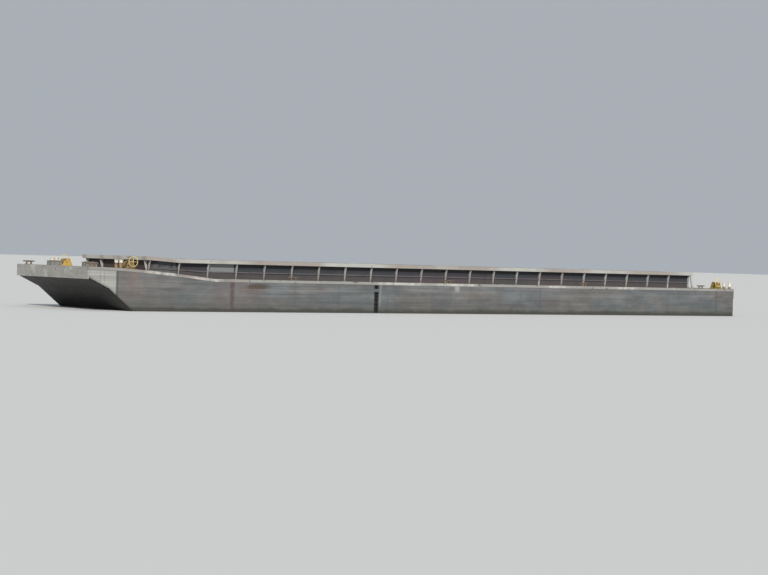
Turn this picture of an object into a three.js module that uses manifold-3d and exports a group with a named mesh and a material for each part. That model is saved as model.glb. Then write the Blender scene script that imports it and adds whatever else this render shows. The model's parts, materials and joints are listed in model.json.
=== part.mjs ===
// Open hopper river barge with a raked bow and a square stern, as a 1:2 scale model.
// All sizes below are those of the real barge in millimetres; the whole group is scaled at the end.
// +X points to the raked bow, +Y to port and +Z up. The origin is on the flat bottom, amidships.

import * as THREE from 'three';
import { mergeVertices } from 'three/addons/utils/BufferGeometryUtils.js';
import Module from 'manifold-3d';

const wasm = await Module();
wasm.setup();

const MODEL_SCALE = 0.5;

// Hull
const LENGTH = 59440;
const BEAM = 10670;
const DEPTH = 3660;
const HALF_LENGTH = LENGTH / 2;
const HALF_BEAM = BEAM / 2;
const GUNWALE_OUT = 30;
const SHELL_Y = HALF_BEAM - GUNWALE_OUT;
const BILGE_RADIUS = 250;

// Heavy end plates: thickness, how far the bow one hangs below the rake, height of the stern one
const END_PLATE = 60;
const HEADLOG_SKIRT = 30;
const STERN_LOG = 770;

// Rubbing bar: height, bevel at its lower edge, and the rounding of its upper edge
const GUNWALE = { height: 190, underIn: 8, underUp: 15, shoulder: 30, topIn: 10, topDrop: 6 };

// Deck sheer, as distances aft of the headlog
const SHEER_LENGTH = 9600;
const SHEER_RISE = 650;
const SHEER_START = HALF_LENGTH - SHEER_LENGTH;
const HOPPER_BOW_AFT = 5000;
const SHEER_STATIONS = [SHEER_LENGTH, 8000, 6400, HOPPER_BOW_AFT, 2800, 2000, 1000, 0];

// Rake of the bottom, as distances aft of the headlog and heights
const HEADLOG_BOTTOM = 3540;
const RAKE_KNUCKLE = [1600, 2790];
const RAKE_ARC_START = [3250, 1450];
const RAKE_ARC_DEGREES = 40;
const RAKE_ARC_STEPS = 4;

// Hopper
const BAY = 2275;
const BAYS = 22;
const HOPPER_BOW = HALF_LENGTH - HOPPER_BOW_AFT;
const HOPPER_STERN = HOPPER_BOW - BAYS * BAY;
const HOPPER_HALF = 4285;
const INNER_BOTTOM = 500;
const FLOOR_PLATE = 20;
const SLOPE_START = 21600;
const SLOPE_TOP = 1500;

// Decks, and the gap that pieces keep from a sloping deck
const DECK_PLATE = 20;
const SEAT = 0.6;

// How far a cutting block reaches past what it cuts, and the distance at which corners are merged
const PAST = 200;
const MERGE = 1e-3;

// Facets round each round form, and the angles up the bilge corner, in degrees
const ROUND = { shaft: 12, post: 12, horn: 10, rung: 8, pin: 10, bore: 16, drum: 16, rim: 20, rimSection: 6 };
const PLATE_CORNER_FACETS = 3;
const BILGE_DEGREES = [0, 30, 60, 90];

// Coaming
const COAMING_TOP = 4950;
const COAMING_BOW_TOP = 5080;
const COAMING_PLATE = 16;
const RAIL_WIDTH = 340;
const RAIL_LIP = 250;
const STAY_PLATE = 16;
const STAY_TOP = 300;
const STAY_FOOT = 120;
const END_STAYS = 5;
const END_STAY_INSET = 100;

// Side ladder, let into the side, and a hand hold above it. Each recess: bottom, top, first rung above
const NICHE_X = HALF_LENGTH - 23100;
const NICHE_WIDTH = 360;
const NICHE_DEPTH = 200;
const NICHES = [[1480, 2950, 120], [3180, 3420, 120]];

// Rungs and rails of every ladder
const RUNG_RADIUS = 13;
const RUNG_STEP = 300;
const LADDER_RAIL = [60, 14];
const SIDE_LADDER_INSET = 45;
const HOPPER_LADDER = { width: 420, standOff: 170, bracket: 60, y: 3300 };
const BOW_LADDER = { firstRung: 240, brackets: [200, 1500, 2700], foot: 20, belowTop: 40 };
const STERN_LADDER = { firstRung: 300, brackets: [200, 1600, 3200], belowTop: 40 };

// Deck fittings: distance from the nearer end and from the centreline
const BITT_AT = [2550, 4700];
const STERN_BITT_AT = [300, 4770];
const WINCH_AT = [3350, 4600];
const STERN_WINCH_AT = [1300, 4500];
const HATCH_AT = [1500, 2600];
const STERN_HATCH_AT = [3300, 2600];
const KEVEL_AT = [600, 4700];
const STERN_KEVEL_AT = [3300, 4760];
const SIDE_KEVELS_X = [13590, -135, -13410];
const SIDE_KEVEL_Y = 5040;

// Double bitt
const BITT = { base: [420, 1060, 25], post: 125, height: 560, spacing: 620, cap: 160, capHeight: 40 };

// Kevel
const KEVEL = { base: [620, 190, 20], leg: [90, 80, 190], legAt: 170, horn: 55, tip: 32, length: 920 };

// Deck winch; the second shaft stands off the drum's at 45 degrees
const WINCH = {
  base: [1000, 700, 24], cheekAt: 250, cheek: 24, drumX: -90, drumZ: 300, shafts: 280,
  shaft: 36, pinionShaft: 24, bore: 1.4, flange: 240, wound: 165, gear: 222, pinion: 46,
  shaftEnd: 290, gearFrom: 165, gearTo: 215, wheelY: 380, wheel: 330, rim: 20, hub: 58,
  hubLong: 52, spokes: 4, spoke: [18, 32], flangesAt: [-225, 115], flangePlate: 20, gearHub: 110,
  tie: [22, 370, 70], cheekFoot: 430,
};
const CHEEK_BY_PINION = [[90, 40], [50, 80], [-60, 80]];
const CHEEK_BY_DRUM = [[-110, 90], [-150, 20]];

// Raised hatch
const HATCH = {
  side: 760, wall: 14, height: 280, lid: 820, lidPlate: 14, well: 640, wellDepth: 650,
  hingeOut: 44, pin: 12, pinClear: 3, pinOut: 10, barrel: 26, barrelLength: 240, leaf: 120,
  lug: 16, lugGap: 6, lugHalf: 26, lugDown: 130, footDown: 40,
  rib: [16, 49], ribSink: 5, ribInset: 30, ribShort: 60,
  handle: 11, handleLong: 160, handleIn: 70, handleUp: 60,
};

const COLOURS = {
  side: 0x767777, bottom: 0x3a3634, deck: 0x8a8680, coaming: 0x5a6068, end: 0x8b8a85,
  gunwale: 0xa5a49e, floor: 0x6c5a4d, bitt: 0xc9a63a, winch: 0x8f8a72, drum: 0x6b5238,
  wheel: 0xd9c46a, hatch: 0x85827c, ladder: 0x6f6a62,
};

const barge = new THREE.Group();

// Shape helpers

function material(slot) {
  return new THREE.MeshStandardMaterial({ color: COLOURS[slot], roughness: 0.7, metalness: 0.3 });
}

function toManifold(geometry) {
  const plain = geometry.clone();
  plain.deleteAttribute('normal');
  plain.deleteAttribute('uv');
  const merged = mergeVertices(plain, MERGE);
  return new wasm.Manifold(new wasm.Mesh({
    numProp: 3,
    vertProperties: new Float32Array(merged.attributes.position.array),
    triVerts: new Uint32Array(merged.index.array),
  }));
}

function toGeometry(manifold) {
  const mesh = manifold.getMesh();
  const geometry = new THREE.BufferGeometry();
  geometry.setAttribute('position', new THREE.BufferAttribute(new Float32Array(mesh.vertProperties), 3));
  geometry.setIndex(new THREE.BufferAttribute(new Uint32Array(mesh.triVerts), 1));
  return geometry;
}

function joined(geometries) {
  return toGeometry(geometries.map(toManifold).reduce((sum, next) => sum.add(next)));
}

function cutBy(geometry, tools) {
  return toGeometry(tools.map(toManifold).reduce((rest, tool) => rest.subtract(tool), toManifold(geometry)));
}

function block(x0, x1, y0, y1, z0, z1) {
  const geometry = new THREE.BoxGeometry(x1 - x0, y1 - y0, z1 - z0);
  return geometry.translate((x0 + x1) / 2, (y0 + y1) / 2, (z0 + z1) / 2);
}

// A round bar along Y
function bar(radius, y0, y1, sides = ROUND.shaft, x = 0, z = 0, radiusEnd = radius) {
  const geometry = new THREE.CylinderGeometry(radiusEnd, radius, y1 - y0, sides);
  return geometry.translate(x, (y0 + y1) / 2, z);
}

function post(radius, z0, z1, x, y) {
  return bar(radius, z0, z1, ROUND.post).rotateX(Math.PI / 2).translate(x, y, 0);
}

// A closed body through sections of equally many points; caps at both ends
function loft(sections) {
  const count = sections[0].length;
  const position = sections.flat().flatMap((p) => [p.x, p.y, p.z]);
  const index = [];
  for (let s = 0; s + 1 < sections.length; s += 1) {
    for (let i = 0; i < count; i += 1) {
      const j = (i + 1) % count;
      const [a, b, c, d] = [s * count + i, s * count + j, (s + 1) * count + j, (s + 1) * count + i];
      index.push(a, b, c, a, c, d);
    }
  }
  const cap = THREE.ShapeUtils.triangulateShape(sections[0].map((p) => p.flat), []);
  const last = (sections.length - 1) * count;
  for (const [a, b, c] of cap) {
    index.push(a, c, b, last + a, last + b, last + c);
  }
  const geometry = new THREE.BufferGeometry();
  geometry.setAttribute('position', new THREE.Float32BufferAttribute(position, 3));
  geometry.setIndex(index);
  return facingOut(geometry);
}

function facingOut(geometry) {
  const p = geometry.attributes.position;
  const index = geometry.index.array;
  const [a, b, c] = [new THREE.Vector3(), new THREE.Vector3(), new THREE.Vector3()];
  let volume = 0;
  for (let i = 0; i < index.length; i += 3) {
    a.fromBufferAttribute(p, index[i]);
    b.fromBufferAttribute(p, index[i + 1]);
    c.fromBufferAttribute(p, index[i + 2]);
    volume += a.dot(b.cross(c));
  }
  return volume < 0 ? flipped(geometry) : geometry;
}

function flipped(geometry) {
  const index = geometry.index.array;
  for (let i = 0; i < index.length; i += 3) {
    [index[i + 1], index[i + 2]] = [index[i + 2], index[i + 1]];
  }
  return geometry;
}

function mirrored(geometry) {
  const indexed = geometry.index ? geometry.clone() : mergeVertices(geometry, MERGE);
  const p = indexed.attributes.position;
  for (let i = 0; i < p.count; i += 1) {
    p.setY(i, -p.getY(i));
  }
  return flipped(indexed);
}

// The same piece on the side asked for: port as built, starboard mirrored
function onSide(geometry, side) {
  return side > 0 ? geometry : mirrored(geometry);
}

function add(name, geometry, slot, parent = barge) {
  const mesh = new THREE.Mesh(geometry, material(slot));
  mesh.name = name;
  parent.add(mesh);
  return mesh;
}

const SIDES = [['port', 1], ['starboard', -1]];

// Hull lines: deck height and bottom height at stations along the length

const deckLine = [[-HALF_LENGTH, DEPTH], ...SHEER_STATIONS.map((aft) => {
  const along = (SHEER_LENGTH - aft) / SHEER_LENGTH;
  return [HALF_LENGTH - aft, DEPTH + Math.round(SHEER_RISE * Math.sin((along * Math.PI) / 2))];
})];

function bottomArc() {
  const degrees = THREE.MathUtils.degToRad(RAKE_ARC_DEGREES);
  const radius = RAKE_ARC_START[1] / (1 - Math.cos(degrees));
  const tangentAft = RAKE_ARC_START[0] + radius * Math.sin(degrees);
  const points = [];
  for (let step = 0; step <= RAKE_ARC_STEPS; step += 1) {
    const turn = (degrees * step) / RAKE_ARC_STEPS;
    const aft = Math.round(tangentAft - radius * Math.sin(turn));
    points.push([HALF_LENGTH - aft, Math.round(radius * (1 - Math.cos(turn)))]);
  }
  return points;
}

const bottomLine = [
  [-HALF_LENGTH, 0],
  ...bottomArc(),
  [HALF_LENGTH - RAKE_KNUCKLE[0], RAKE_KNUCKLE[1]],
  [HALF_LENGTH, HEADLOG_BOTTOM],
];

const coamingLine = [
  [HOPPER_STERN, COAMING_TOP], [HOPPER_BOW - BAY, COAMING_TOP], [HOPPER_BOW, COAMING_BOW_TOP],
];
const slopeLine = [[SLOPE_START, INNER_BOTTOM], [HOPPER_BOW, SLOPE_TOP]];

function heightAt(line, x) {
  const i = Math.max(1, line.findIndex(([px]) => px >= x));
  const [[x0, z0], [x1, z1]] = [line[i - 1], line[i]];
  return z0 + ((z1 - z0) * (x - x0)) / (x1 - x0);
}

function slopeAt(line, x) {
  const i = Math.max(1, line.findIndex(([px]) => px >= x));
  const [[x0, z0], [x1, z1]] = [line[i - 1], line[i]];
  return Math.atan2(z1 - z0, x1 - x0);
}

function stationsBetween(from, to, ...lines) {
  const inside = lines.flat().map(([x]) => x).filter((x) => x > from && x < to);
  return [...new Set([from, ...inside, to])].sort((a, b) => a - b);
}

// A section across the hull: its points are [y, z], closed
function across(x, points) {
  return points.map(([y, z]) => {
    const p = new THREE.Vector3(x, y, z);
    p.flat = new THREE.Vector2(y, z);
    return p;
  });
}

// The rounded bilge corner at the shell, from the bottom up the side
function bilge(z, sign) {
  return BILGE_DEGREES.map((degrees) => {
    const turn = THREE.MathUtils.degToRad(degrees);
    const y = SHELL_Y - BILGE_RADIUS + BILGE_RADIUS * Math.sin(turn);
    return [sign * y, z + BILGE_RADIUS * (1 - Math.cos(turn))];
  });
}

// Hull blocks

function fullBeamHull(from, to) {
  return loft(stationsBetween(from, to, deckLine, bottomLine).map((x) => {
    const [low, high] = [heightAt(bottomLine, x), heightAt(deckLine, x) - DECK_PLATE - SEAT];
    return across(x, [...bilge(low, 1), [SHELL_Y, high], [-SHELL_Y, high], ...bilge(low, -1).reverse()]);
  }));
}

function wellTools(places) {
  const half = HATCH.well / 2;
  return places.flatMap(([x, y]) => SIDES.map(([, side]) => {
    const deck = heightAt(deckLine, x);
    return block(x - half, x + half, side * y - half, side * y + half, deck - HATCH.wellDepth, deck + PAST);
  }));
}

// The hopper's bow end, cut out of the bow block and the bow deck between the hopper walls
function hopperEndTool() {
  return block(SHEER_START - PAST, HOPPER_BOW, -HOPPER_HALF, HOPPER_HALF, -PAST, DEPTH + SHEER_RISE + PAST);
}

// A length of the tank between the hopper wall and the side
function wing(from, to) {
  return loft(stationsBetween(from, to, deckLine).map((x) => {
    const high = heightAt(deckLine, x) - DECK_PLATE - SEAT;
    return across(x, [[HOPPER_HALF, 0], ...bilge(0, 1), [SHELL_Y, high], [HOPPER_HALF, high]]);
  }));
}

// The short length of side tank that the ladder is let into, with the rungs and rails welded in
function ladderTrunk() {
  const [aft, fore] = [NICHE_X - NICHE_WIDTH / 2, NICHE_X + NICHE_WIDTH / 2];
  const [back, out] = [SHELL_Y - NICHE_DEPTH, SHELL_Y + PAST];
  const recesses = NICHES.map(([low, high]) => block(aft - PAST, fore + PAST, back, out, low, high));
  const sunk = RUNG_RADIUS;
  const ladders = NICHES.map(([low, high, firstRung]) => {
    const rungs = ladder(NICHE_WIDTH, high - low + 2 * sunk, firstRung + sunk, [], 0);
    return rungs.rotateZ(Math.PI / 2).translate(NICHE_X, SHELL_Y - SIDE_LADDER_INSET, low - sunk);
  });
  return joined([cutBy(wing(aft, fore), recesses), ...ladders]);
}

// The tank under the sloping plate at the hopper's bow end
function bowSlope() {
  return loft(stationsBetween(SLOPE_START, HOPPER_BOW, bottomLine).map((x) => {
    const [low, high] = [heightAt(bottomLine, x), heightAt(slopeLine, x)];
    return across(x, [[HOPPER_HALF, low], [HOPPER_HALF, high], [-HOPPER_HALF, high], [-HOPPER_HALF, low]]);
  }));
}

function deckStrip(from, to, y0, y1) {
  return loft(stationsBetween(from, to, deckLine).map((x) => {
    const top = heightAt(deckLine, x);
    return across(x, [[y0, top - DECK_PLATE], [y1, top - DECK_PLATE], [y1, top], [y0, top]]);
  }));
}

function addHull() {
  const bowCuts = [...wellTools([[HALF_LENGTH - HATCH_AT[0], HATCH_AT[1]]]), hopperEndTool()];
  const sternWells = wellTools([[STERN_HATCH_AT[0] - HALF_LENGTH, STERN_HATCH_AT[1]]]);
  const bowEnd = HALF_LENGTH - END_PLATE;
  const [trunkAft, trunkFore] = [NICHE_X - NICHE_WIDTH / 2, NICHE_X + NICHE_WIDTH / 2];
  const floorTop = INNER_BOTTOM - FLOOR_PLATE;
  const inside = [-HOPPER_HALF, HOPPER_HALF];
  add('rake_hull', cutBy(fullBeamHull(SHEER_START, bowEnd), bowCuts), 'side');
  add('stern_hull', cutBy(fullBeamHull(-bowEnd, HOPPER_STERN), sternWells), 'side');
  add('bottom_hull', block(HOPPER_STERN, SLOPE_START, ...inside, 0, floorTop), 'bottom');
  add('hopper_floor', block(HOPPER_STERN, SLOPE_START, ...inside, floorTop, INNER_BOTTOM), 'floor');
  add('hopper_bow_slope', bowSlope(), 'floor');
  add('bow_deck', cutBy(deckStrip(SHEER_START, bowEnd, -SHELL_Y, SHELL_Y), bowCuts), 'deck');
  add('stern_deck', cutBy(deckStrip(-bowEnd, HOPPER_STERN, -SHELL_Y, SHELL_Y), sternWells), 'deck');
  for (const [name, side] of SIDES) {
    add(`wing_aft_${name}`, onSide(wing(HOPPER_STERN, trunkAft), side), 'side');
    add(`ladder_trunk_${name}`, onSide(ladderTrunk(), side), 'side');
    add(`wing_fore_${name}`, onSide(wing(trunkFore, SHEER_START), side), 'side');
    const strip = deckStrip(HOPPER_STERN, SHEER_START, HOPPER_HALF, SHELL_Y);
    add(`side_deck_${name}`, onSide(strip, side), 'deck');
  }
}

// Heavy plates across both ends, with their upright edges rounded

function endPlate(z0, z1) {
  const shape = new THREE.Shape();
  shape.moveTo(0, -HALF_BEAM);
  shape.lineTo(0, HALF_BEAM);
  shape.absarc(0, HALF_BEAM - END_PLATE, END_PLATE, Math.PI / 2, 0, true);
  shape.lineTo(END_PLATE, END_PLATE - HALF_BEAM);
  shape.absarc(0, END_PLATE - HALF_BEAM, END_PLATE, 0, -Math.PI / 2, true);
  const settings = { depth: z1 - z0, bevelEnabled: false, curveSegments: PLATE_CORNER_FACETS };
  return new THREE.ExtrudeGeometry(shape, settings).translate(0, 0, z0);
}

// Rubbing bar along the deck edge; its outer edge is rounded
function gunwale(from, to) {
  const [inner, outer] = [SHELL_Y, HALF_BEAM];
  return loft(stationsBetween(from, to, deckLine).map((x) => {
    const top = heightAt(deckLine, x);
    const low = top - GUNWALE.height;
    return across(x, [[inner, low], [outer - GUNWALE.underIn, low], [outer, low + GUNWALE.underUp],
      [outer, top - GUNWALE.shoulder], [outer - GUNWALE.topIn, top - GUNWALE.topDrop], [inner, top]]);
  }));
}

// The bow plate and the rubbing bars of the raised bow are one welded band
function addEdges() {
  const end = HALF_LENGTH - END_PLATE;
  const bowTop = heightAt(deckLine, HALF_LENGTH);
  const bow = endPlate(HEADLOG_BOTTOM - HEADLOG_SKIRT, bowTop).translate(end, 0, 0);
  const bar = gunwale(SHEER_START, end + GUNWALE.topDrop);
  add('headlog', joined([bow, bar, mirrored(bar)]), 'end');
  const stern = endPlate(DEPTH - STERN_LOG, DEPTH).rotateZ(Math.PI).translate(-end, 0, 0);
  add('stern_log', stern, 'end');
  for (const [name, side] of SIDES) {
    add(`gunwale_${name}`, onSide(gunwale(-end, SHEER_START), side), 'gunwale');
  }
}

// Coaming: an upright plate with a turned-out top rail, carried by tapered stays

function coamingPoints(inner, foot, top) {
  const plate = inner + COAMING_PLATE;
  const rail = inner + RAIL_WIDTH;
  const [lip, under] = [rail - COAMING_PLATE, top - COAMING_PLATE];
  return [[inner, foot], [plate, foot], [plate, under], [lip, under],
    [lip, top - RAIL_LIP], [rail, top - RAIL_LIP], [rail, top], [inner, top]];
}

// A tapered plate across Y, at x, from the deck up to the rail
function stay(x, inner, foot, top) {
  const shape = new THREE.Shape();
  const [root, under] = [inner + COAMING_PLATE / 2, top - COAMING_PLATE / 2];
  shape.moveTo(root, foot);
  shape.lineTo(inner + STAY_FOOT, foot);
  shape.lineTo(inner + STAY_TOP, top - RAIL_LIP);
  shape.lineTo(inner + STAY_TOP, under);
  shape.lineTo(root, under);
  const geometry = new THREE.ExtrudeGeometry(shape, { depth: STAY_PLATE, bevelEnabled: false });
  return geometry.rotateX(Math.PI / 2).rotateZ(Math.PI / 2).translate(x - STAY_PLATE / 2, 0, 0);
}

function sideCoaming() {
  const stations = stationsBetween(HOPPER_STERN, HOPPER_BOW, deckLine, coamingLine);
  const wall = loft(stations.map((x) => (
    across(x, coamingPoints(HOPPER_HALF, heightAt(deckLine, x) + SEAT, heightAt(coamingLine, x))))));
  const stays = [];
  for (let bay = 0; bay <= BAYS; bay += 1) {
    const end = (bay === 0 ? -1 : 0) + (bay === BAYS ? 1 : 0);
    const x = HOPPER_BOW - bay * BAY + (end * STAY_PLATE) / 2;
    const foot = heightAt(deckLine, Math.min(HOPPER_BOW, x + STAY_PLATE / 2)) + 2 * SEAT;
    stays.push(stay(x, HOPPER_HALF, foot, heightAt(coamingLine, x)));
  }
  return joined([wall, ...stays]);
}

// Built along Y at the hopper's bow; the stern one is turned round. Its rail is longer than its plate,
// runs on over both side rails' ends, and has a lip all round
function endCoaming(foot, stayFoot, top) {
  const [half, plateHalf] = [HOPPER_HALF + RAIL_WIDTH, HOPPER_HALF + COAMING_PLATE];
  const [lip, lipHalf, under] = [RAIL_WIDTH - COAMING_PLATE, half - COAMING_PLATE, top - COAMING_PLATE];
  const channel = block(COAMING_PLATE, lip, -lipHalf, lipHalf, foot, under);
  const rail = cutBy(block(0, RAIL_WIDTH, -half, half, top - RAIL_LIP, top), [channel]);
  const plate = block(0, COAMING_PLATE, -plateHalf, plateHalf, foot, top);
  const stays = [];
  for (let i = 0; i < END_STAYS; i += 1) {
    const y = ((2 * i) / (END_STAYS - 1) - 1) * (HOPPER_HALF - END_STAY_INSET);
    stays.push(stay(0, 0, stayFoot, top).rotateZ(-Math.PI / 2).translate(0, y, 0));
  }
  return joined([rail, plate, ...stays]);
}

function addCoaming() {
  for (const [name, side] of SIDES) {
    add(`coaming_${name}`, onSide(sideCoaming(), side), 'coaming');
  }
  const deckOut = (out) => heightAt(deckLine, HOPPER_BOW + out) + SEAT;
  const [bowFoot, bowStayFoot] = [deckOut(COAMING_PLATE), deckOut(STAY_FOOT)];
  const bow = endCoaming(bowFoot, bowStayFoot, COAMING_BOW_TOP);
  const stern = endCoaming(DEPTH + SEAT, DEPTH + SEAT, COAMING_TOP).rotateZ(Math.PI);
  add('coaming_bow', bow.translate(HOPPER_BOW, 0, 0), 'coaming');
  add('coaming_stern', stern.translate(HOPPER_STERN, 0, 0), 'coaming');
}

// Ladders: two flat rails along Z and round rungs along Y, feet at z = 0

function ladder(width, height, firstRung, brackets, backTo) {
  const [deep, thick] = LADDER_RAIL;
  const railY = (width - thick) / 2;
  const half = HOPPER_LADDER.bracket / 2;
  const pieces = [];
  for (const y of [-railY, railY]) {
    const [y0, y1] = [y - thick / 2, y + thick / 2];
    pieces.push(block(-deep / 2, deep / 2, y0, y1, 0, height));
    pieces.push(...brackets.map((z) => block(0, backTo, y0, y1, z - half, z + half)));
  }
  for (let z = firstRung; z < height - RUNG_RADIUS; z += RUNG_STEP) {
    pieces.push(bar(RUNG_RADIUS, -railY, railY, ROUND.rung, 0, z));
  }
  return joined(pieces);
}

function addLadders() {
  const { width, standOff, y } = HOPPER_LADDER;
  const bowHeight = COAMING_BOW_TOP - SLOPE_TOP - BOW_LADDER.foot - BOW_LADDER.belowTop;
  const bow = ladder(width, bowHeight, BOW_LADDER.firstRung, BOW_LADDER.brackets, standOff);
  add('hopper_ladder_bow', bow.translate(HOPPER_BOW - standOff, y, SLOPE_TOP + BOW_LADDER.foot), 'ladder');
  const sternHeight = COAMING_TOP - INNER_BOTTOM - STERN_LADDER.belowTop;
  const stern = ladder(width, sternHeight, STERN_LADDER.firstRung, STERN_LADDER.brackets, standOff);
  const foot = INNER_BOTTOM + SEAT;
  add('hopper_ladder_stern', stern.rotateZ(Math.PI).translate(HOPPER_STERN + standOff, -y, foot), 'ladder');
}

// A group that stands on the deck at x, y and leans with the sheer
function deckGroup(x, y) {
  const group = new THREE.Group();
  group.position.set(x, y, heightAt(deckLine, x) + SEAT);
  group.rotation.y = -slopeAt(deckLine, x);
  barge.add(group);
  return group;
}

function bitt() {
  const [long, wide, thick] = BITT.base;
  const pieces = [block(-long / 2, long / 2, -wide / 2, wide / 2, 0, thick)];
  for (const side of [-1, 1]) {
    const y = (side * BITT.spacing) / 2;
    pieces.push(post(BITT.post, thick / 2, BITT.height - BITT.capHeight / 2, 0, y));
    pieces.push(post(BITT.cap, BITT.height - BITT.capHeight, BITT.height, 0, y));
  }
  return joined(pieces);
}

function kevel() {
  const [long, wide, thick] = KEVEL.base;
  const [legLong, legWide, legHigh] = KEVEL.leg;
  const hornZ = thick + legHigh;
  const pieces = [block(-long / 2, long / 2, -wide / 2, wide / 2, 0, thick)];
  for (const side of [-1, 1]) {
    const x = side * KEVEL.legAt;
    pieces.push(block(x - legLong / 2, x + legLong / 2, -legWide / 2, legWide / 2, thick / 2, hornZ));
    const horn = bar(KEVEL.horn, 0, KEVEL.length / 2, ROUND.horn, 0, 0, KEVEL.tip);
    pieces.push(horn.rotateZ((-side * Math.PI) / 2).translate(0, 0, hornZ));
  }
  return joined(pieces);
}

function pinionPlace() {
  const reach = WINCH.shafts * Math.SQRT1_2;
  return [WINCH.drumX + reach, WINCH.drumZ + reach];
}

// Base, two cheek plates with both bearings' holes, and a tie bar
function winchStand() {
  const [long, wide, thick] = WINCH.base;
  const [px, pz] = pinionPlace();
  const shape = new THREE.Shape();
  shape.moveTo(-WINCH.cheekFoot, thick / 2);
  shape.lineTo(WINCH.cheekFoot, thick / 2);
  CHEEK_BY_PINION.forEach(([x, z]) => shape.lineTo(px + x, pz + z));
  CHEEK_BY_DRUM.forEach(([x, z]) => shape.lineTo(WINCH.drumX + x, WINCH.drumZ + z));
  const cheeks = [-1, 1].map((side) => {
    const plate = new THREE.ExtrudeGeometry(shape, { depth: WINCH.cheek, bevelEnabled: false });
    return plate.rotateX(Math.PI / 2).translate(0, side * WINCH.cheekAt + WINCH.cheek / 2, 0);
  });
  const [tieRadius, tieX, tieZ] = WINCH.tie;
  const tie = bar(tieRadius, -WINCH.cheekAt, WINCH.cheekAt, ROUND.rung, tieX, tieZ);
  const base = block(-long / 2, long / 2, -wide / 2, wide / 2, 0, thick);
  const holes = [
    bar(WINCH.shaft + WINCH.bore, -wide, wide, ROUND.bore, WINCH.drumX, WINCH.drumZ),
    bar(WINCH.pinionShaft + WINCH.bore, -wide, wide, ROUND.bore, px, pz),
  ];
  return cutBy(joined([base, tie, ...cheeks]), holes);
}

// Radius and place along the axis, from one shaft end to the other
function winchDrum() {
  const { shaft, flange, wound, gear, gearHub, gearFrom, gearTo, shaftEnd } = WINCH;
  const [inFrom, outFrom] = WINCH.flangesAt;
  const [inTo, outTo] = [inFrom + WINCH.flangePlate, outFrom + WINCH.flangePlate];
  const profile = [
    [0, -shaftEnd], [shaft, -shaftEnd], [shaft, inFrom], [flange, inFrom], [flange, inTo],
    [wound, inTo], [wound, outFrom], [flange, outFrom], [flange, outTo], [gearHub, outTo],
    [gearHub, gearFrom], [gear, gearFrom], [gear, gearTo], [shaft, gearTo], [shaft, shaftEnd], [0, shaftEnd],
  ];
  return new THREE.LatheGeometry(profile.map(([r, y]) => new THREE.Vector2(r, y)), ROUND.drum);
}

function handwheel() {
  const { wheel, wheelY, hub, hubLong, spokes } = WINCH;
  const [spokeThick, spokeWide] = WINCH.spoke;
  const rim = new THREE.TorusGeometry(wheel, WINCH.rim, ROUND.rimSection, ROUND.rim).rotateX(Math.PI / 2);
  const pieces = [
    rim.translate(0, wheelY, 0),
    bar(hub, wheelY - hubLong / 2, wheelY + hubLong / 2),
    bar(WINCH.pinionShaft, -WINCH.shaftEnd, wheelY),
    bar(WINCH.pinion, WINCH.gearFrom, WINCH.gearTo),
  ];
  for (let i = 0; i < spokes; i += 1) {
    const arm = block(hub / 2, wheel, -spokeThick / 2, spokeThick / 2, -spokeWide / 2, spokeWide / 2);
    pieces.push(arm.rotateY((2 * i * Math.PI) / spokes).translate(0, wheelY, 0));
  }
  return joined(pieces);
}

// Square tube on the deck, with two lugs and the hinge pin at its aft side
function hatchCoaming() {
  const half = HATCH.side / 2;
  const hingeX = -HATCH.lid / 2 - HATCH.hingeOut;
  const hingeZ = HATCH.height + HATCH.lidPlate;
  const { wall, lugHalf, lugDown, pin } = HATCH;
  const outer = block(-half, half, -half, half, 0, HATCH.height);
  const bore = block(-half + wall, half - wall, -half + wall, half - wall, -PAST, HATCH.height + PAST);
  const lugIn = HATCH.barrelLength / 2 + HATCH.lugGap;
  const lugs = [-1, 1].flatMap((side) => {
    const [y0, y1] = [side * lugIn, side * (lugIn + HATCH.lug)].sort((a, b) => a - b);
    return [
      block(hingeX - lugHalf, hingeX + lugHalf, y0, y1, hingeZ - lugDown, hingeZ + lugHalf),
      block(hingeX, -half + wall / 2, y0, y1, hingeZ - lugDown, hingeZ - HATCH.footDown),
    ];
  });
  const pinEnd = lugIn + HATCH.lug + HATCH.pinOut;
  return joined([cutBy(outer, [bore]), ...lugs, bar(pin, -pinEnd, pinEnd, ROUND.pin, hingeX, hingeZ)]);
}

// Built round its hinge axis: plate, crossed ribs, handle, and the barrel on the pin
function hatchLid() {
  const centre = HATCH.lid / 2 + HATCH.hingeOut;
  const half = HATCH.lid / 2;
  const low = -HATCH.lidPlate + SEAT;
  const top = low + HATCH.lidPlate;
  const { ribInset, handle, barrel, leaf, barrelLength } = HATCH;
  const [ribFrom, ribTo] = [low + HATCH.ribSink, low + HATCH.ribSink + HATCH.rib[1]];
  const ribHalf = HATCH.rib[0] / 2;
  const handleX = centre + half - HATCH.handleIn;
  const handleZ = low + HATCH.handleUp;
  const handleEnd = HATCH.handleLong / 2;
  const pieces = [
    block(centre - half, centre + half, -half, half, low, top),
    block(centre - half + ribInset, centre + half - HATCH.ribShort, -ribHalf, ribHalf, ribFrom, ribTo),
    block(centre - ribHalf, centre + ribHalf, -half + ribInset, half - ribInset, ribFrom, ribTo),
    block(barrel / 2, centre - half + ribInset, -leaf / 2, leaf / 2, low, top),
    bar(barrel, -barrelLength / 2, barrelLength / 2),
    bar(handle, -handleEnd, handleEnd, ROUND.rung, handleX, handleZ),
    ...[-1, 1].map((side) => block(handleX - handle, handleX + handle, side * handleEnd - handle,
      side * handleEnd + handle, ribFrom, handleZ + handle)),
  ];
  return cutBy(joined(pieces), [bar(HATCH.pin + HATCH.pinClear, -barrelLength, barrelLength)]);
}

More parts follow.
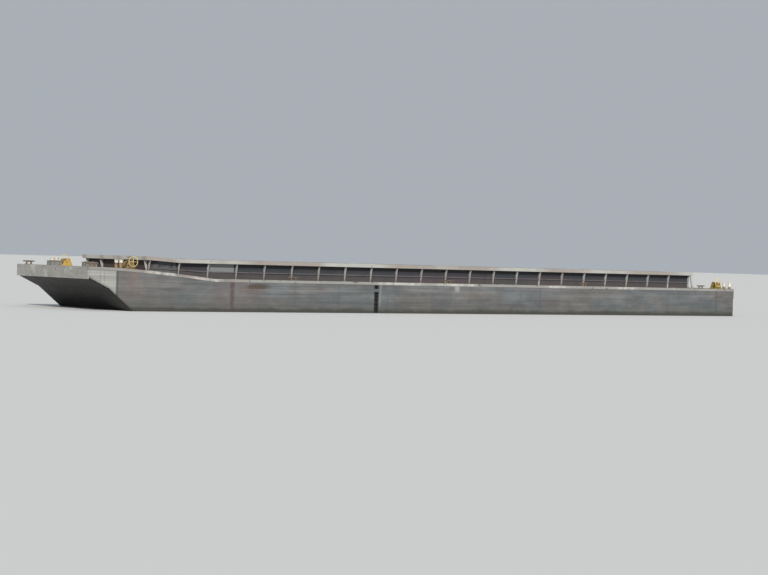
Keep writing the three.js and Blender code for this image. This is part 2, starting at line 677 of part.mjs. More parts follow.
// The handwheel is outboard and towards the hopper, so the bow winches are turned round
function addWinch(name, x, y, outboard) {
  const group = new THREE.Group();
  group.rotation.z = x > 0 ? Math.PI : 0;
  deckGroup(x, outboard * y).add(group);
  const side = x > 0 ? -outboard : outboard;
  const [px, pz] = pinionPlace();
  add(`winch_stand_${name}`, onSide(winchStand(), side), 'winch', group);
  const drum = add(`winch_drum_${name}`, onSide(winchDrum(), side), 'drum', group);
  drum.position.set(WINCH.drumX, 0, WINCH.drumZ);
  const wheel = add(`winch_wheel_${name}`, onSide(handwheel(), side), 'wheel', group);
  wheel.position.set(px, 0, pz);
}

function addHatch(name, x, y, side) {
  const group = deckGroup(x, side * y);
  add(`hatch_coaming_${name}`, onSide(hatchCoaming(), side), 'hatch', group);
  const lid = add(`hatch_lid_${name}`, onSide(hatchLid(), side), 'hatch', group);
  lid.position.set(-HATCH.lid / 2 - HATCH.hingeOut, 0, HATCH.height + HATCH.lidPlate);
}

function addFittings() {
  for (const [name, side] of SIDES) {
    const bow = (place) => [HALF_LENGTH - place[0], place[1]];
    const stern = (place) => [place[0] - HALF_LENGTH, place[1]];
    addWinch(`bow_${name}`, ...bow(WINCH_AT), side);
    addWinch(`stern_${name}`, ...stern(STERN_WINCH_AT), side);
    addHatch(`bow_${name}`, ...bow(HATCH_AT), side);
    addHatch(`stern_${name}`, ...stern(STERN_HATCH_AT), side);
    const standing = [
      [`bitt_bow_${name}`, bow(BITT_AT), bitt, 'bitt'],
      [`bitt_stern_${name}`, stern(STERN_BITT_AT), bitt, 'bitt'],
      [`kevel_bow_${name}`, bow(KEVEL_AT), kevel, 'winch'],
      [`kevel_stern_${name}`, stern(STERN_KEVEL_AT), kevel, 'winch'],
      ...SIDE_KEVELS_X.map((x, i) => [`kevel_side_${i + 1}_${name}`, [x, SIDE_KEVEL_Y], kevel, 'winch']),
    ];
    for (const [node, [x, y], make, slot] of standing) {
      add(node, onSide(make(), side), slot, deckGroup(x, side * y));
    }
  }
}

addHull();
addEdges();
addCoaming();
addLadders();
addFittings();
barge.scale.setScalar(MODEL_SCALE);

export default barge;
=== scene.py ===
import json
import math

import bmesh
import bpy
from mathutils import Matrix, Vector


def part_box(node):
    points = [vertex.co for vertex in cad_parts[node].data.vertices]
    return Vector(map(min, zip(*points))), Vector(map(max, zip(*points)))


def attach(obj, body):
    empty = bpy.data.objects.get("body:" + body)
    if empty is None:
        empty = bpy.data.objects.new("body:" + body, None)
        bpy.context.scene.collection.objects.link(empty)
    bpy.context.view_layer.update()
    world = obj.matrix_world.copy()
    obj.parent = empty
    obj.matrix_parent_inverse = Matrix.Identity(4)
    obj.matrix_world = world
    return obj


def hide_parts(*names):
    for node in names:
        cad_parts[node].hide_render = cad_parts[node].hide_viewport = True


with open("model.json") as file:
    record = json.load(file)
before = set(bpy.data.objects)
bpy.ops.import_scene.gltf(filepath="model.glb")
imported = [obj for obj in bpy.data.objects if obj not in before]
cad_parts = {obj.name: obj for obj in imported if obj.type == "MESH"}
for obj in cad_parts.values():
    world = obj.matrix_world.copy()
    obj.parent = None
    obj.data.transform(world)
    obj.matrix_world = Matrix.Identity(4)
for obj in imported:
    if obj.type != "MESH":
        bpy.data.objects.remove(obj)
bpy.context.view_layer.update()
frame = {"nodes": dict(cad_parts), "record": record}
NODES = frame["nodes"]

# The model is half the size of the real barge. Shapes and finishes below are in real metres.
MODEL_SCALE = 0.5
REAL = 1 / MODEL_SCALE

# Real sizes, in metres, read from the frame where a node gives them
STERN_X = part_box("stern_log")[0][0] * REAL
SHELL_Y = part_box("wing_aft_port")[1][1] * REAL
DECK_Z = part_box("stern_deck")[1][2] * REAL
SHEER_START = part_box("bow_deck")[0][0] * REAL
HOPPER_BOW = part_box("hopper_bow_slope")[1][0] * REAL
HOPPER_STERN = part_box("hopper_floor")[0][0] * REAL
HOPPER_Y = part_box("hopper_floor")[1][1] * REAL
COAMING_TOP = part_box("coaming_stern")[1][2] * REAL
COAMING_PLATE = 0.016
# The water's height, and where the raked bottom reaches it
WATERLINE = 1.43
WATERLINE_BOW = 26.44

# The hopper's middle and half its length
HOPPER_MIDDLE, HOPPER_REACH = (HOPPER_BOW + HOPPER_STERN) / 2, (HOPPER_BOW - HOPPER_STERN) / 2
# The upright seam near the bow, and the after edge of the headlog
RAKE_SEAM_X = 27.56
HEADLOG_AFT_X = 29.62

# The camera at the photo's viewing angle, in model metres: place, aim, lens in mm and roll
CAMERA_AT = Vector((44.4, 59.9, 2.65))
CAMERA_AIM = Vector((1.03, -0.05, 1.6))
CAMERA_LENS = 92
CAMERA_ROLL = math.radians(1.6)


# Node helpers


class Shader:
    """A material's node tree, with short calls for what the finishes share. noise in a call is a
    noise's scale, detail and roughness, and its stretch if it has one."""

    def __init__(self, name, base=(0.2, 0.2, 0.2), rough=0.65, metal=0):
        self.material = bpy.data.materials.new(name)
        self.material.use_nodes = True
        self.tree = self.material.node_tree
        self.inputs = self.tree.nodes["Principled BSDF"].inputs
        for socket, value in (("Base Color", base), ("Roughness", rough), ("Metallic", metal)):
            self.put(self.inputs[socket], value)
        # The point on the object in real metres
        point = self.node("TexCoord").outputs["Object"]
        self.point = self.node("VectorMath", {0: point, "Scale": REAL}, operation="SCALE").outputs[0]
        self.x, self.y, self.z = self.node("SeparateXYZ", {0: self.point}).outputs

    def node(self, kind, sockets=None, **settings):
        """A new node with these settings, and these values or links in its inputs."""
        made = self.tree.nodes.new("ShaderNode" + kind)
        for key, value in settings.items():
            setattr(made, key, value)
        for key, value in (sockets or {}).items():
            self.put(made.inputs[key], value)
        return made

    def put(self, socket, value):
        if isinstance(value, bpy.types.NodeSocket):
            self.tree.links.new(value, socket)
        elif socket.type == "RGBA" and len(value) == 3:
            socket.default_value = (*value, 1)
        else:
            socket.default_value = value

    def math(self, operation, a, b=0, clamp=False):
        return self.node("Math", {0: a, 1: b}, operation=operation, use_clamp=clamp).outputs[0]

    def add(self, a, b):
        return self.math("ADD", a, b)

    def less(self, a, b):
        return self.math("SUBTRACT", a, b)

    def most(self, a, b):
        return self.math("MAXIMUM", a, b)

    def beam(self):
        """Distance from the centre line."""
        return self.math("ABSOLUTE", self.y)

    def noise(self, scale=1, detail=3, rough=0.55, stretch=None):
        point = self.point
        if stretch:
            point = self.node("Mapping", {"Vector": point, "Scale": stretch}).outputs[0]
        sockets = {"Vector": point, "Scale": scale, "Detail": detail, "Roughness": rough}
        return self.node("TexNoise", sockets).outputs["Fac"]

    def range(self, value, low, high, rise=1, **settings):
        sockets = {"Value": value, "From Min": low, "From Max": high, "To Max": rise}
        return self.node("MapRange", sockets, **settings).outputs[0]

    def step(self, value, low, high):
        """Rises smoothly from 0 at low to 1 at high."""
        return self.range(value, low, high, interpolation_type="SMOOTHSTEP")

    def fall(self, value, low, high):
        """Falls smoothly from 1 at low to 0 at high."""
        return self.less(1, self.step(value, low, high))

    def ramp(self, value, low, high, rise):
        """Climbs evenly from 0 at low to rise at high."""
        return self.range(value, low, high, rise, clamp=True)

    def band(self, value, centre, half, soft):
        """1 within half of centre, falling to 0 over soft."""
        return self.fall(self.math("ABSOLUTE", self.less(value, centre)), half, half + soft)

    def mix(self, amount, a, b, blend="MIX"):
        return self.node("Mix", {0: amount, 6: a, 7: b}, data_type="RGBA", blend_type=blend).outputs[2]

    def shade(self, colour, factor):
        """colour times a grey factor."""
        grey = self.node("CombineColor", dict.fromkeys(range(3), factor)).outputs[0]
        return self.mix(1, colour, grey, "MULTIPLY")

    def spread(self, value, low, high):
        """value from 0 to 1 turned into low to high, not clamped."""
        return self.add(self.math("MULTIPLY", value, high - low), low)

    def wave(self, low, high, *noise):
        """Noise from low to high."""
        return self.spread(self.noise(*noise), low, high)

    def vary(self, colour, *wave):
        """colour, darker and lighter by noise."""
        return self.shade(colour, self.wave(*wave))

    def times(self, *values):
        out = values[0]
        for value in values[1:]:
            out = self.math("MULTIPLY", out, value)
        return out

    def spots(self, low, high, *noise):
        """Patches of noise, with an edge from low to high."""
        return self.step(self.noise(*noise), low, high)

    def coat(self, paint, mask, amount, colour):
        """paint with colour over it, by amount where mask is 1."""
        return self.mix(self.times(mask, amount), paint, colour)

    def layer(self, paint, colour, amount, low, high, *noise):
        """paint with spots of colour over it."""
        return self.coat(paint, self.spots(low, high, *noise), amount, colour)

    def colour(self, paint):
        self.paint = paint
        self.put(self.inputs["Base Color"], paint)

    def gloss(self, scale, detail, low, high):
        """Roughness from low to high by noise."""
        self.put(self.inputs["Roughness"], self.wave(low, high, scale, detail))

    def relief(self, *bumps):
        """Bumps of height, depth and strength, the coarse ones first."""
        sockets = {}
        for height, depth, strength in bumps:
            sockets.update({"Height": height, "Strength": strength, "Distance": depth})
            sockets["Normal"] = self.node("Bump", sockets).outputs[0]
        self.put(self.inputs["Normal"], sockets["Normal"])

    def facing(self):
        """The true normal's X, Y and Z, on an object that is not turned."""
        normal = self.node("NewGeometry").outputs["True Normal"]
        return self.node("SeparateXYZ", {0: normal}).outputs


RUST = (0.105, 0.052, 0.032)
DARK_RUST = (0.055, 0.032, 0.024)


def plates(s, along, up, length, height, seam=0.012):
    """Plates over two coordinates: a value that differs from plate to plate, and the seams."""
    flat = s.node("CombineXYZ", {0: along, 1: up}).outputs[0]
    brick = s.node("TexBrick", {
        "Vector": flat, "Color1": (0, 0, 0), "Color2": (1, 1, 1), "Mortar": (0.5, 0.5, 0.5), "Scale": 1,
        "Mortar Size": seam, "Mortar Smooth": 0.6, "Brick Width": length, "Row Height": height,
    })
    return brick.outputs["Color"], brick.outputs["Fac"]


# Finishes

# Length and width of the plates in the hull side and in the deck
SIDE_PLATE = (7.2, 1.22)
DECK_PLATE = (6, 1.5)


def bare_hopper(s):
    """Bare plate inside the hopper, rusted, and polished in long scrapes by cargo and grabs."""
    paint = s.mix(s.noise(0.45, 4), (0.088, 0.062, 0.048), (0.17, 0.128, 0.1))
    paint = s.vary(paint, 0.8, 1.18, 2.4, 5, 0.65)
    # A grey film, dust, long scrapes, spots of rust
    paint = s.layer(paint, (0.15, 0.142, 0.132), 0.5, 0.46, 0.66, 0.3, 4, 0.6)
    paint = s.layer(paint, (0.24, 0.2, 0.16), 0.45, 0.56, 0.72, 1.1, 5, 0.7)
    paint = s.layer(paint, (0.27, 0.255, 0.235), 0.42, 0.58, 0.68, 1, 5, 0.7, (0.22, 3.8, 3.8))
    return s.layer(paint, DARK_RUST, 0.6, 0.62, 0.7, 2.1, 6, 0.7)


def blot(s, centre, half, wobble):
    """A ragged oval mark at [x, z] on the side, 1 inside and 0 outside."""
    dx = s.math("DIVIDE", s.less(s.x, centre[0]), half[0])
    dz = s.math("DIVIDE", s.less(s.z, centre[1]), half[1])
    away = s.math("SQRT", s.add(s.math("POWER", dx, 2), s.math("POWER", dz, 2)))
    return s.fall(s.add(away, wobble), 0.45, 1.45)


# Marks on the near side: centre and half size as [x, z], strength, colour
SIDE_MARKS = (
    ((16.7, 3.17), (0.95, 0.22), 0.88, (0.062, 0.046, 0.036)),
    ((17.3, 2.95), (1.3, 0.2), 0.45, (0.12, 0.085, 0.07)),
    ((23.6, 2.92), (1, 0.13), 0.55, (0.078, 0.078, 0.072)),
    ((-18.9, 2.88), (0.6, 0.16), 0.55, (0.082, 0.082, 0.078)),
    ((-18.2, 2.62), (0.8, 0.07), 0.5, (0.085, 0.084, 0.08)),
    ((-28, 3.02), (0.6, 0.08), 0.6, (0.08, 0.074, 0.068)),
    ((-0.72, 3.3), (0.24, 0.26), 0.62, (0.38, 0.38, 0.365)),
    ((-9.4, 3.36), (3.3, 0.15), 0.4, (0.175, 0.152, 0.18)),
    # The next mark is painted shade: a dark spot at the top of the ladder's recess
    ((6.62, 3.3), (0.26, 0.13), 0.8, (0.03, 0.029, 0.027)),
)
# Upright seams and stains on the near side: x, half width, strength
SIDE_LINES = (
    (-27.7, 0.05, 0.45), (-8.75, 0.03, 0.35), (9.9, 0.04, 0.2), (13.6, 0.03, 0.16), (-22.2, 0.03, 0.22),
)
# Long rubs along the near side: centre and half size as [x, z], strength, colour
SIDE_RUBS = (
    ((12.6, 2.98), (6, 0.045), 0.6, (0.23, 0.222, 0.215)),
    ((13.4, 2.72), (4.6, 0.04), 0.55, (0.085, 0.082, 0.08)),
    ((13, 3.26), (3.2, 0.05), 0.45, (0.09, 0.086, 0.084)),
    ((0.6, 3.05), (3.4, 0.04), 0.5, (0.205, 0.185, 0.175)),
    ((-14.2, 2.9), (4.6, 0.04), 0.45, (0.215, 0.212, 0.208)),
    ((-15.8, 2.66), (3.6, 0.035), 0.45, (0.09, 0.088, 0.086)),
    ((-25.6, 3.08), (2, 0.035), 0.45, (0.205, 0.2, 0.19)),
)
# Middles of the side ladder's recess, of a pink and a brown stain, and of the brown one's streak
LADDER_X = 6.62
PINK_X, BROWN_X, STREAK_X = 26.05, 18.4, 18.72


def hull_side():
    s = Shader("hull_side_paint", rough=0.6)
    nx, _, nz = s.facing()
    on_end = s.step(s.math("ABSOLUTE", nx), 0.6, 0.8)
    along = s.add(s.times(s.x, s.less(1, on_end)), s.times(s.y, on_end))
    tone, seams = plates(s, along, s.z, *SIDE_PLATE)

    # Grey paint in soft patches, bluish, greenish and brownish, drawn out along the side
    soft = s.spots(0.36, 0.64, 0.6, 3, 0.55, (0.42, 0.42, 1.15))
    paint = s.mix(soft, (0.124, 0.136, 0.142), (0.15, 0.141, 0.135))
    paint = s.layer(paint, (0.124, 0.136, 0.122), 0.4, 0.52, 0.7, 0.8, 3, 0.6, (0.5, 0.5, 1.6))
    cloud = s.spots(0.34, 0.68, 0.95, 3, 0.6, (0.6, 0.6, 1.1))
    paint = s.shade(paint, s.spread(cloud, 0.84, 1.14))
    paint = s.shade(paint, s.spread(s.node("RGBToBW", {0: tone}).outputs[0], 0.93, 1.06))
    paint = s.vary(paint, 0.8, 1.2, 1.2, 5, 0.62, (0.8, 0.8, 1.5))

    # Lighter plating on the raked end, up to an upright seam
    rake = s.step(s.x, RAKE_SEAM_X - 0.01, RAKE_SEAM_X + 0.12)
    rake = s.times(rake, s.wave(0.7, 1, 1.6, 4))
    paint = s.mix(rake, paint, (0.345, 0.345, 0.322))
    paint = s.coat(paint, s.band(s.x, RAKE_SEAM_X, 0.05, 0.08), 0.7, (0.07, 0.07, 0.07))

    # Scrapes along the side and faint runs down it
    scrape = s.noise(1, 5, 0.65, (0.13, 0.3, 6))
    paint = s.shade(paint, s.spread(s.step(scrape, 0.34, 0.66), 0.86, 1.16))
    paint = s.layer(paint, (0.28, 0.28, 0.27), 0.34, 0.64, 0.74, 1, 4, 0.65, (0.25, 0.3, 15))
    paint = s.layer(paint, (0.085, 0.08, 0.075), 0.5, 0.67, 0.75, 1, 4, 0.65, (0.3, 0.3, 11))
    run = s.noise(1, 4, 0.65, (2.6, 2.6, 0.13))
    where = s.spots(0.42, 0.6, 0.16, 2, 0.5)
    paint = s.coat(paint, s.times(s.step(run, 0.55, 0.75), where), 0.34, (0.1, 0.094, 0.088))

    # Rust: freckles everywhere, and runs below the deck edge
    paint = s.layer(paint, RUST, 0.5, 0.64, 0.72, 4.6, 6, 0.72)
    drip = s.spots(0.59, 0.72, 1, 4, 0.65, (3.2, 3.2, 0.2))
    drop = s.less(s.z, s.times(s.noise(1, 2, 0.5, (1.1, 1.1, 0)), 2.4))
    paint = s.coat(paint, s.times(drip, s.step(drop, 1.7, 2.5)), 0.55, (0.13, 0.078, 0.056))

    # Marks that the photo shows, on the near side only
    plain = paint
    uneven = s.spots(0.38, 0.62, 1, 4, 0.6, (1.5, 1.5, 0.22))
    pink = s.times(s.band(s.x, PINK_X, 0.4, 0.75), uneven)
    paint = s.coat(paint, s.times(pink, s.step(s.z, 1.6, 2.9)), 0.62, (0.2, 0.132, 0.112))
    stained = s.times(s.band(s.x, BROWN_X, 0.9, 1.7), s.wave(0.5, 1.2, 0.9, 3))
    paint = s.coat(paint, stained, 0.42, (0.165, 0.128, 0.124))
    ragged = s.add(s.x, s.wave(-0.16, 0.16, 2.6, 4))
    seam = s.times(s.band(ragged, STREAK_X, 0.07, 0.16), s.wave(0.6, 1.15, 1.6, 3))
    paint = s.mix(s.math("MULTIPLY", seam, 0.8, clamp=True), paint, (0.08, 0.046, 0.043))
    wobble = s.wave(-0.75, 0.75, 1.9, 5, 0.68)
    thin = s.wave(-0.6, 0.6, 1.3, 5, 0.7)
    for marks, edge in ((SIDE_MARKS, wobble), (SIDE_RUBS, thin)):
        for centre, half, amount, tint in marks:
            paint = s.coat(paint, blot(s, centre, half, edge), amount, tint)
    for centre, half, amount in SIDE_LINES:
        paint = s.coat(paint, s.band(s.x, centre, half, 0.12), amount, (0.08, 0.07, 0.066))
    paint = s.mix(s.step(s.y, -0.5, 0.5), plain, paint)
    # Painted shade of the ladder's recess, spread a little onto the side round it
    beside = s.times(s.band(ragged, LADDER_X, 0.16, 0.12), s.step(s.z, 3.1, 2.9))
    paint = s.coat(paint, beside, 0.75, (0.036, 0.034, 0.032))
    rubbed = s.times(s.band(ragged, LADDER_X - 0.33, 0.05, 0.07), s.step(s.z, 1.7, 2))
    paint = s.coat(paint, rubbed, 0.55, (0.25, 0.248, 0.24))
    sunk = s.step(s.beam(), SHELL_Y - 0.08, SHELL_Y - 0.095)
    recess = s.times(s.band(s.x, LADDER_X, 0.19, 0.01), sunk)

    # Seams, then the side darker towards the bottom, and wet growth and dirt towards the waterline
    paint = s.coat(paint, seams, 0.3, (0.085, 0.078, 0.072))
    height = s.add(s.z, s.wave(-0.22, 0.22, 0.7, 5, 0.65))
    paint = s.shade(paint, s.spread(s.step(height, 1.5, 3.3), 0.8, 1.04))
    paint = s.coat(paint, s.fall(height, 1.5, 2.3), 0.42, (0.112, 0.112, 0.09))
    paint = s.coat(paint, s.fall(height, 1.58, 1.84), 0.85, (0.042, 0.041, 0.036))
    # Painted shade: faces turned downwards, as under the raked end, painted near black
    under = s.step(nz, -0.2, -0.4)
    paint = s.mix(under, paint, s.mix(s.noise(0.8, 5), (0.012, 0.012, 0.013), (0.03, 0.028, 0.026)))

    # Inside: near black in the ladder's recess as painted shade, bare plate in the hopper, dark primer in
    # the hatch wells
    paint = s.mix(recess, paint, (0.014, 0.013, 0.012))
    inboard = s.fall(s.beam(), HOPPER_Y + 0.01, HOPPER_Y + 0.03)
    in_hopper = s.times(inboard, s.band(s.x, HOPPER_MIDDLE, HOPPER_REACH + 0.01, 0.02))
    paint = s.mix(in_hopper, paint, bare_hopper(s))
    past_hopper = s.less(1, s.band(s.x, HOPPER_MIDDLE, HOPPER_REACH + 0.02, 0.02))
    by_centre = s.fall(s.beam(), 2.95, 3)
    over_floor = s.step(s.z, 2.94, 2.96)
    in_well = s.times(inboard, past_hopper, over_floor, by_centre, s.step(nz, -0.3, -0.1))
    primer = s.mix(s.noise(1.5, 4), (0.05, 0.044, 0.04), (0.105, 0.08, 0.064))
    s.colour(s.mix(in_well, paint, primer))

    # Plating dented between the frames, knocks, grain and seams
    s.gloss(2.2, 4, 0.48, 0.8)
    s.relief((s.noise(1, 1, 0.4, (1.45, 0.2, 0.28)), 0.012, 0.55),
             (s.spots(0.45, 0.75, 0.8, 2, 0.5), 0.02, 0.45),
             (s.noise(9, 5, 0.6), 0.003, 0.5), (s.less(1, seams), 0.004, 0.5))
    return s


def steel(name, light, dark, rust_share, patch=1.2, rough=(0.55, 0.85), metal=0):
    """Painted or bare plate with blotches, rust patches and a fine texture."""
    s = Shader(name, metal=metal)
    paint = s.mix(s.noise(0.6, 4), dark, light)
    paint = s.vary(paint, 0.82, 1.16, 3.5, 5, 0.65)
    level = 0.7 - 0.22 * rust_share
    rust = s.mix(s.noise(6, 4), DARK_RUST, RUST)
    s.colour(s.layer(paint, rust, 0.85, level, level + 0.07, patch, 6, 0.68))
    s.gloss(4, 4, *rough)
    s.relief((s.noise(18, 5, 0.65), 0.002, 0.6))
    return s


def deck_plate():
    """Worn grey deck paint: brown where water stands, rust along the seams and round the fittings."""
    s = Shader("deck_paint")
    paint = s.mix(s.noise(0.35, 4), (0.205, 0.193, 0.176), (0.285, 0.27, 0.246))
    paint = s.vary(paint, 0.84, 1.14, 2.5, 5, 0.62)
    _, seams = plates(s, s.x, s.y, *DECK_PLATE, 0.014)
    _, beside = plates(s, s.x, s.y, *DECK_PLATE, 0.2)
    paint = s.layer(paint, (0.15, 0.108, 0.082), 0.62, 0.42, 0.72, 0.5, 6, 0.66)
    edge = s.step(s.beam(), 5.05, 5.3)
    worn = s.spots(0.44, 0.62, 1.3, 5, 0.68)
    rusting = s.times(s.most(edge, s.times(beside, 0.85)), worn)
    paint = s.coat(paint, rusting, 0.6, (0.118, 0.07, 0.048))
    ends = s.most(s.fall(s.x, -26.6, -23.6), s.times(s.step(s.x, 23.6, 26.6), 0.75))
    stained = s.times(ends, s.spots(0.34, 0.66, 0.7, 5, 0.64))
    paint = s.coat(paint, stained, 0.66, (0.112, 0.074, 0.054))
    group = s.spots(0.44, 0.62, 0.45, 2, 0.5)
    spot = s.spots(0.58, 0.66, 3.2, 6, 0.74)
    paint = s.coat(paint, s.times(spot, group), 0.8, s.mix(s.noise(6, 4), DARK_RUST, RUST))
    paint = s.layer(paint, (0.36, 0.345, 0.32), 0.35, 0.62, 0.72, 1, 5, 0.7, (0.5, 5, 1))
    s.colour(s.coat(paint, seams, 0.55, (0.062, 0.05, 0.04)))
    s.gloss(3, 4, 0.5, 0.85)
    s.relief((s.noise(18, 5, 0.65), 0.002, 0.6), (s.less(1, seams), 0.003, 0.5))
    return s


# The coaming's last bay at the bow, how far its top rises over it, and its foot along the sheer
BOW_BAY = 2.275
BOW_RISE = 0.13
FOOT_RISE = 0.44
# Depth of the rail
RAIL_LIP = 0.25
# The middles of a pale and a grey panel on the near side, half a panel, and the stays with a bright foot
PALE_X, GREY_X, HALF_PANEL = 19.03, 23.6, 0.95
BRIGHT_FEET_X = (-9.4, -23.06)


def coaming_paint():
    """Dark blue-grey panels, rusty inside; the rail and the stays are lighter and rubbed."""
    s = Shader("coaming_paint", rough=0.62)
    astern = s.less(HOPPER_STERN - COAMING_PLATE, s.x)
    faces = (s.beam(), HOPPER_Y + COAMING_PLATE), (s.x, HOPPER_BOW + COAMING_PLATE), (astern, 0)
    sides, bow, stern = [s.step(value, face + 0.002, face + 0.006) for value, face in faces]
    out = s.most(sides, s.most(bow, stern))
    drop = s.less(s.z, s.ramp(s.x, HOPPER_BOW - BOW_BAY, HOPPER_BOW, BOW_RISE))
    top = s.step(drop, COAMING_TOP - RAIL_LIP - 0.01, COAMING_TOP - RAIL_LIP + 0.01)
    above = s.less(s.z, s.add(DECK_Z, s.ramp(s.x, SHEER_START, HOPPER_BOW, FOOT_RISE)))
    light = s.most(out, top)

    # Panels: brown dust thrown up from the deck; darker and bluer towards the rail, partly as painted shade;
    # and a painted shadow of the rail just under it
    dust = s.mix(s.noise(1.3, 4), (0.06, 0.056, 0.056), (0.09, 0.081, 0.074))
    blue = s.mix(s.noise(0.45, 3), (0.029, 0.037, 0.045), (0.049, 0.054, 0.062))
    violet = s.spots(0.48, 0.6, 0.3, 3, 0.5, (1, 1, 0.4))
    blue = s.coat(blue, violet, 0.65, (0.054, 0.043, 0.054))
    dust = s.coat(dust, violet, 0.55, (0.096, 0.07, 0.08))
    height = s.add(above, s.wave(-0.22, 0.22, 0.9, 4, 0.6))
    # Dust at the foot, the darker blue higher up: the darkening towards the rail is partly painted shade
    panel = s.mix(s.step(height, 0.1, 0.62), dust, blue)
    panel = s.vary(panel, 0.8, 1.2, 1, 4, 0.6, (1.6, 1.6, 0.25))
    panel = s.layer(panel, (0.08, 0.064, 0.066), 0.3, 0.52, 0.68, 1.5, 5, 0.68)
    panel = s.layer(panel, (0.06, 0.04, 0.034), 0.55, 0.6, 0.7, 1, 5, 0.68, (0.9, 0.9, 1.8))
    # Painted shadow of the rail: the panels darkened most just under it
    panel = s.shade(panel, s.spread(s.step(drop, COAMING_TOP - 0.38, COAMING_TOP - 0.78), 0.42, 1))
    outer_port = s.step(s.y, HOPPER_Y + 0.004, HOPPER_Y + 0.008)
    pale = s.times(outer_port, s.band(s.x, PALE_X, HALF_PANEL, 0.1), s.step(above, 0.3, 0.5))
    panel = s.coat(panel, pale, 0.72, (0.27, 0.28, 0.285))
    scuffed = s.spots(0.36, 0.6, 1.6, 4, 0.6)
    grey = s.times(outer_port, s.band(s.x, GREY_X, HALF_PANEL, 0.1), scuffed)
    panel = s.coat(panel, grey, 0.55, (0.145, 0.148, 0.148))
    bow_end = s.step(s.x, HOPPER_BOW - 0.01, HOPPER_BOW + 0.01)
    sooty = s.mix(s.noise(1.1, 5, 0.65), (0.03, 0.02, 0.022), (0.072, 0.046, 0.044))
    panel = s.coat(panel, bow_end, 0.85, sooty)
    inner_side = s.fall(s.beam(), HOPPER_Y + 0.004, HOPPER_Y + 0.008)
    inside = s.times(inner_side, s.band(s.x, HOPPER_MIDDLE, HOPPER_REACH + 0.004, 0.006))
    rub = s.spots(0.36, 0.6, 0.8, 5, 0.66)
    panel = s.coat(panel, s.times(inside, rub), 0.8, (0.12, 0.086, 0.066))

    # White and tan stretches along the rail, rubbed through to rust
    stretch = s.spots(0.44, 0.56, 1, 2, 0.5, (0.16, 0.5, 0))
    edge = s.mix(stretch, (0.335, 0.298, 0.266), (0.435, 0.44, 0.405))
    edge = s.vary(edge, 0.82, 1.16, 1.7, 5, 0.62)
    edge = s.layer(edge, (0.14, 0.092, 0.068), 0.75, 0.6, 0.69, 3, 6, 0.72)
    edge = s.coat(edge, s.times(out, s.less(1, top)), 0.6, (0.46, 0.465, 0.46))
    edge = s.coat(edge, s.step(above, 0.3, 0.04), 0.4, (0.22, 0.165, 0.12))
    for x in BRIGHT_FEET_X:
        foot = s.times(s.band(s.x, x, 0.05, 0.06), s.step(above, 0.34, 0.2))
        edge = s.coat(edge, foot, 0.85, (0.68, 0.67, 0.63))
    paint = s.mix(light, panel, edge)
    s.colour(s.coat(paint, s.times(inside, top, rub), 0.6, (0.15, 0.112, 0.088)))
    s.gloss(3, 4, 0.5, 0.8)
    s.relief((s.noise(1, 1, 0.4, (0.9, 0.9, 1.2)), 0.01, 0.5), (s.noise(14, 5, 0.6), 0.002, 0.5))
    return s


# Stretches of the rubbing bar worn bright: middle, half length
WORN_STRETCHES = ((4.7, 1.75), (-0.7, 1.6), (24.2, 0.9), (20.9, 0.7), (-10.6, 0.8), (-17.5, 0.5))


def bar_colour(s, paint):
    """Rubbing bars: worn bright where barges rub, pinkish with rusty spots towards the bow."""
    ragged = s.add(s.x, s.wave(-1.1, 1.1, 1.1, 5, 0.72))
    flaking = s.spread(s.spots(0.34, 0.62, 2.2, 5, 0.68), 0.1, 1.1)
    forward = s.times(s.step(s.x, 16.5, 19), s.step(s.x, 27.6, 25.6))
    paint = s.coat(paint, forward, 0.6, (0.215, 0.2, 0.188))
    for centre, half in WORN_STRETCHES:
        rub = s.times(s.band(ragged, centre, half * 0.8, 0.9), flaking, 0.72)
        paint = s.mix(s.math("MULTIPLY", rub, 1, clamp=True), paint, (0.56, 0.55, 0.51))
    pink = s.times(forward, s.spots(0.42, 0.6, 0.9, 4, 0.6))
    paint = s.coat(paint, pink, 0.45, (0.36, 0.3, 0.27))
    rusty = s.times(forward, s.spots(0.58, 0.66, 1.5, 5, 0.72))
    return s.coat(paint, rusty, 0.8, (0.11, 0.062, 0.044))


def gunwale_paint():
    s = steel("gunwale_paint", (0.36, 0.355, 0.33), (0.23, 0.225, 0.21), 0.5, 2.6)
    s.colour(bar_colour(s, s.paint))
    return s


def end_paint():
    """The bow and stern plates, scraped and dented by other hulls, and the bow's rubbing bars."""
    s = steel("end_plate_paint", (0.34, 0.335, 0.315), (0.22, 0.215, 0.205), 0.4)
    paint, bars = s.paint, bar_colour(s, s.paint)
    # Scrapes, gouges, rusty drips, stains, worn patches
    paint = s.layer(paint, (0.43, 0.425, 0.4), 0.55, 0.54, 0.68, 1, 5, 0.66, (0.3, 0.5, 9))
    paint = s.layer(paint, (0.115, 0.1, 0.088), 0.5, 0.62, 0.72, 1, 4, 0.65, (0.7, 0.7, 6))
    paint = s.layer(paint, RUST, 0.45, 0.6, 0.72, 1, 4, 0.65, (3, 3, 0.3))
    paint = s.layer(paint, (0.2, 0.196, 0.136), 0.52, 0.5, 0.66, 0.7, 4, 0.62)
    paint = s.layer(paint, (0.47, 0.465, 0.44), 0.6, 0.55, 0.68, 0.9, 5, 0.68)
    on_bar = s.step(s.beam(), SHELL_Y - 0.012, SHELL_Y - 0.004)
    behind_plate = s.step(s.x, HEADLOG_AFT_X + 0.02, HEADLOG_AFT_X)
    s.colour(s.mix(s.times(on_bar, behind_plate), paint, bars))
    s.relief((s.noise(1, 2, 0.5, (0.4, 0.9, 1.4)), 0.02, 0.6), (s.noise(12, 5, 0.6), 0.003, 0.5))
    return s


def hopper_steel():
    s = Shader("hopper_steel", rough=0.6, metal=0.2)
    s.colour(bare_hopper(s))
    s.gloss(4, 4, 0.45, 0.8)
    s.relief((s.noise(0.7, 2, 0.5), 0.02, 0.5), (s.noise(16, 5, 0.65), 0.003, 0.6))
    return s


